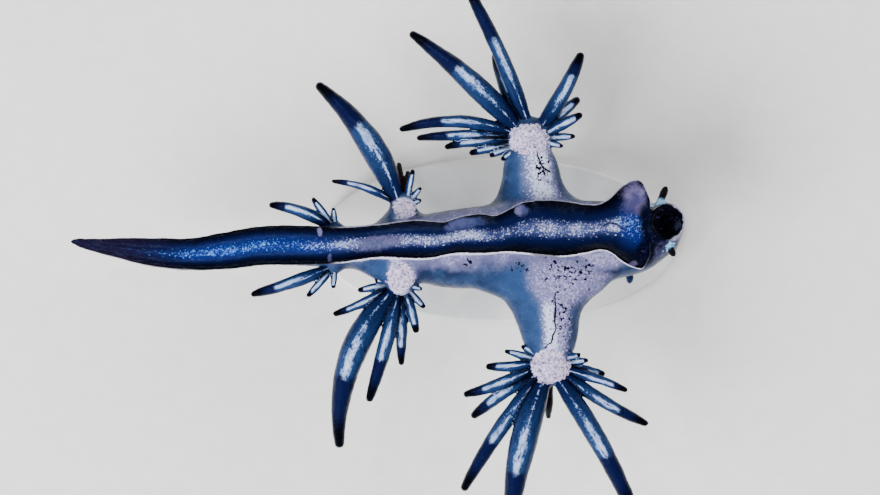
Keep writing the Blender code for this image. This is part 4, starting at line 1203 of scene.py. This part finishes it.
def turned(name, profile, sides, centre=(0, 0), narrower=0.0):
    """A turned solid from rows of radius and height; in y each radius is narrower by a given amount."""
    x, y = centre
    turns = np.linspace(0, 2 * math.pi, sides, endpoint=False)
    circle = [(math.cos(t), math.sin(t)) for t in turns]
    sculpt = bmesh.new()
    rings = [
        [sculpt.verts.new((x + radius * c, y + (radius - narrower) * s, z)) for c, s in circle]
        for radius, z in profile
    ]
    for lower, upper in zip(rings, rings[1:]):
        for i in range(sides):
            j = (i + 1) % sides
            sculpt.faces.new((lower[i], lower[j], upper[j], upper[i]))
    sculpt.faces.new(rings[0][::-1])
    sculpt.faces.new(rings[-1])
    bmesh.ops.scale(sculpt, vec=(MM, MM, MM), verts=sculpt.verts)
    mesh = bpy.data.meshes.new(name)
    sculpt.to_mesh(mesh)
    sculpt.free()
    mesh.shade_smooth()
    mesh.set_sharp_from_angle(angle=math.radians(40))
    return add_object(name, mesh)


def rounded_edge(half, thickness, radius):
    """The rim of the base from its underside to its top."""
    lower = [(t, radius) for t in np.linspace(-math.pi / 2, 0, 5)]
    upper = [(t, thickness - radius) for t in np.linspace(0, math.pi / 2, 7)]
    return [(half - radius + radius * math.cos(t), z + radius * math.sin(t)) for t, z in lower + upper]


rim = rounded_edge(BASE_LENGTH / 2, BASE_THICKNESS, BASE_EDGE)
base = turned("display_base", rim, 96, narrower=(BASE_LENGTH - BASE_WIDTH) / 2)
pins = []
for node, place in PINS.items():
    pins.append((node, turned(node.replace("stand_rod", "pin"), PIN_PROFILE, 40, place)))
print("base", BASE_LENGTH, "by", BASE_WIDTH, "mm, pins:", len(pins))

# %% [markdown]
# Cast resin is matt with a very fine grain and a faint cloud of tone in it. Drawn steel has lines along the
# pin: a noise that is stretched tall makes them, and it varies the polish as well.

# %% Finish the stand
def resin():
    r = Recipe("cast_resin")
    grain = r.noise(6.0, 6.0, 0.7)
    cloud = r.noise(0.25, 3.0, 0.5)
    colour = r.mix(r.rise(cloud, 0.3, 0.7), (0.56, 0.57, 0.58), (0.64, 0.64, 0.64))
    r.bump(grain, 0.25, 0.03)
    return r.finish(colour, r.rise(grain, 0.3, 0.7, 0.42, 0.58))


def steel():
    r = Recipe("pin_steel")
    brushed = r.noise(9.0, 3.0, 0.6, (1.0, 1.0, 0.08))
    r.bump(brushed, 0.15, 0.01)
    colour = r.mix(brushed, (0.52, 0.53, 0.55), (0.66, 0.67, 0.68))
    return r.finish(colour, r.rise(brushed, 0.3, 0.7, 0.20, 0.34), Metallic=1.0)


base.data.materials.append(resin())
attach(base, "root")
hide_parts("stand_base")
pin_steel = steel()
for node, pin in pins:
    pin.data.materials.append(pin_steel)
    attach(pin, "root")
    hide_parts(node)
print("stand finished")

# %% [markdown]
# ## Floor, light and camera
# A plain pale floor and two broad, soft lamps show the animal as a museum would. Wet black skin mirrors
# whatever is above it, and a mirrored lamp would lay a grey veil over the blues. So the two broad lamps are
# left out of mirrors, the sky is bright all round and dark overhead, and one small lamp alone makes the wet
# sparkles.

# %% Floor and lamps
def floor():
    sculpt = bmesh.new()
    bmesh.ops.create_grid(sculpt, x_segments=8, y_segments=8, size=0.6)
    mesh = bpy.data.meshes.new("floor")
    sculpt.to_mesh(mesh)
    sculpt.free()
    piece = add_object("floor", mesh)
    r = Recipe("floor_paint")
    fine = r.noise(0.8, 4.0, 0.6)
    mesh.materials.append(r.finish(r.mix(fine, (0.66, 0.66, 0.65), (0.71, 0.71, 0.70)), 0.7))


def soft_light(name, place, size, power, mirrored):
    """A round lamp that looks at the animal; mirrored says whether wet skin reflects it."""
    lamp = bpy.data.lights.new(name, "AREA")
    lamp.shape = "DISK"
    lamp.size = size
    lamp.energy = power
    lamp_object = add_object(name, lamp)
    lamp_object.location = place
    toward = Vector((0, 0, AXIS_HEIGHT * MM)) - Vector(place)
    lamp_object.rotation_euler = toward.to_track_quat("-Z", "Y").to_euler()
    lamp_object.visible_glossy = mirrored


floor()
soft_light("key", (-0.17, -0.14, 0.20), 0.22, 2.9, False)
soft_light("fill", (0.21, 0.15, 0.17), 0.32, 1.5, False)
soft_light("sparkle", (-0.09, 0.07, 0.30), 0.03, 0.14, True)

# %% [markdown]
# From above, the sky shows only in what the skin mirrors, and as soft light from all round. How far a
# direction leans towards one slightly tilted axis sets its brightness: a plain gradient, not a studio picture.

# %% Sky
SKY_AXIS = (0.0, 0.30, 0.95)
# where the dark overhead begins and ends, brightness all round and overhead
SKY_STEPS = (0.05, 0.60, 0.38, 0.02)
world = bpy.data.worlds.new("studio")
bpy.context.scene.world = world
world.use_nodes = True
sky = world.node_tree
toward = sky.nodes.new("ShaderNodeTexCoord")
upward = sky.nodes.new("ShaderNodeVectorMath")
upward.operation = "DOT_PRODUCT"
upward.inputs[1].default_value = SKY_AXIS
shade = sky.nodes.new("ShaderNodeMapRange")
for socket, item in zip(list(shade.inputs)[1:5], SKY_STEPS):
    socket.default_value = item
sky.links.new(toward.outputs["Generated"], upward.inputs[0])
sky.links.new(upward.outputs["Value"], shade.inputs[0])
sky.links.new(shade.outputs[0], sky.nodes["Background"].inputs["Strength"])
sky.nodes["Background"].inputs["Color"].default_value = (0.92, 0.95, 1.0, 1.0)
print("sky nodes:", len(sky.nodes))

# %% [markdown]
# The camera looks straight down on the foot from well above. A long lens keeps the high fingers from looking
# larger than the low ones. Its height follows from the width of the picture, the lens and the sensor.

# %% Camera
VIEW_CENTRE = (-3.89, -0.49)
VIEW_WIDTH = 57.05
SUBJECT_HEIGHT = 10.5
LENS, SENSOR = 180.0, 36.0
camera = bpy.data.cameras.new("camera")
camera.lens = LENS
camera.sensor_width = SENSOR
camera.clip_start = 0.01
camera_height = SUBJECT_HEIGHT + VIEW_WIDTH * LENS / SENSOR
camera_object = add_object("camera", camera)
camera_object.location = [value * MM for value in (*VIEW_CENTRE, camera_height)]
bpy.context.scene.camera = camera_object
print("camera", round(camera_object.location.z, 3), "m above the floor")
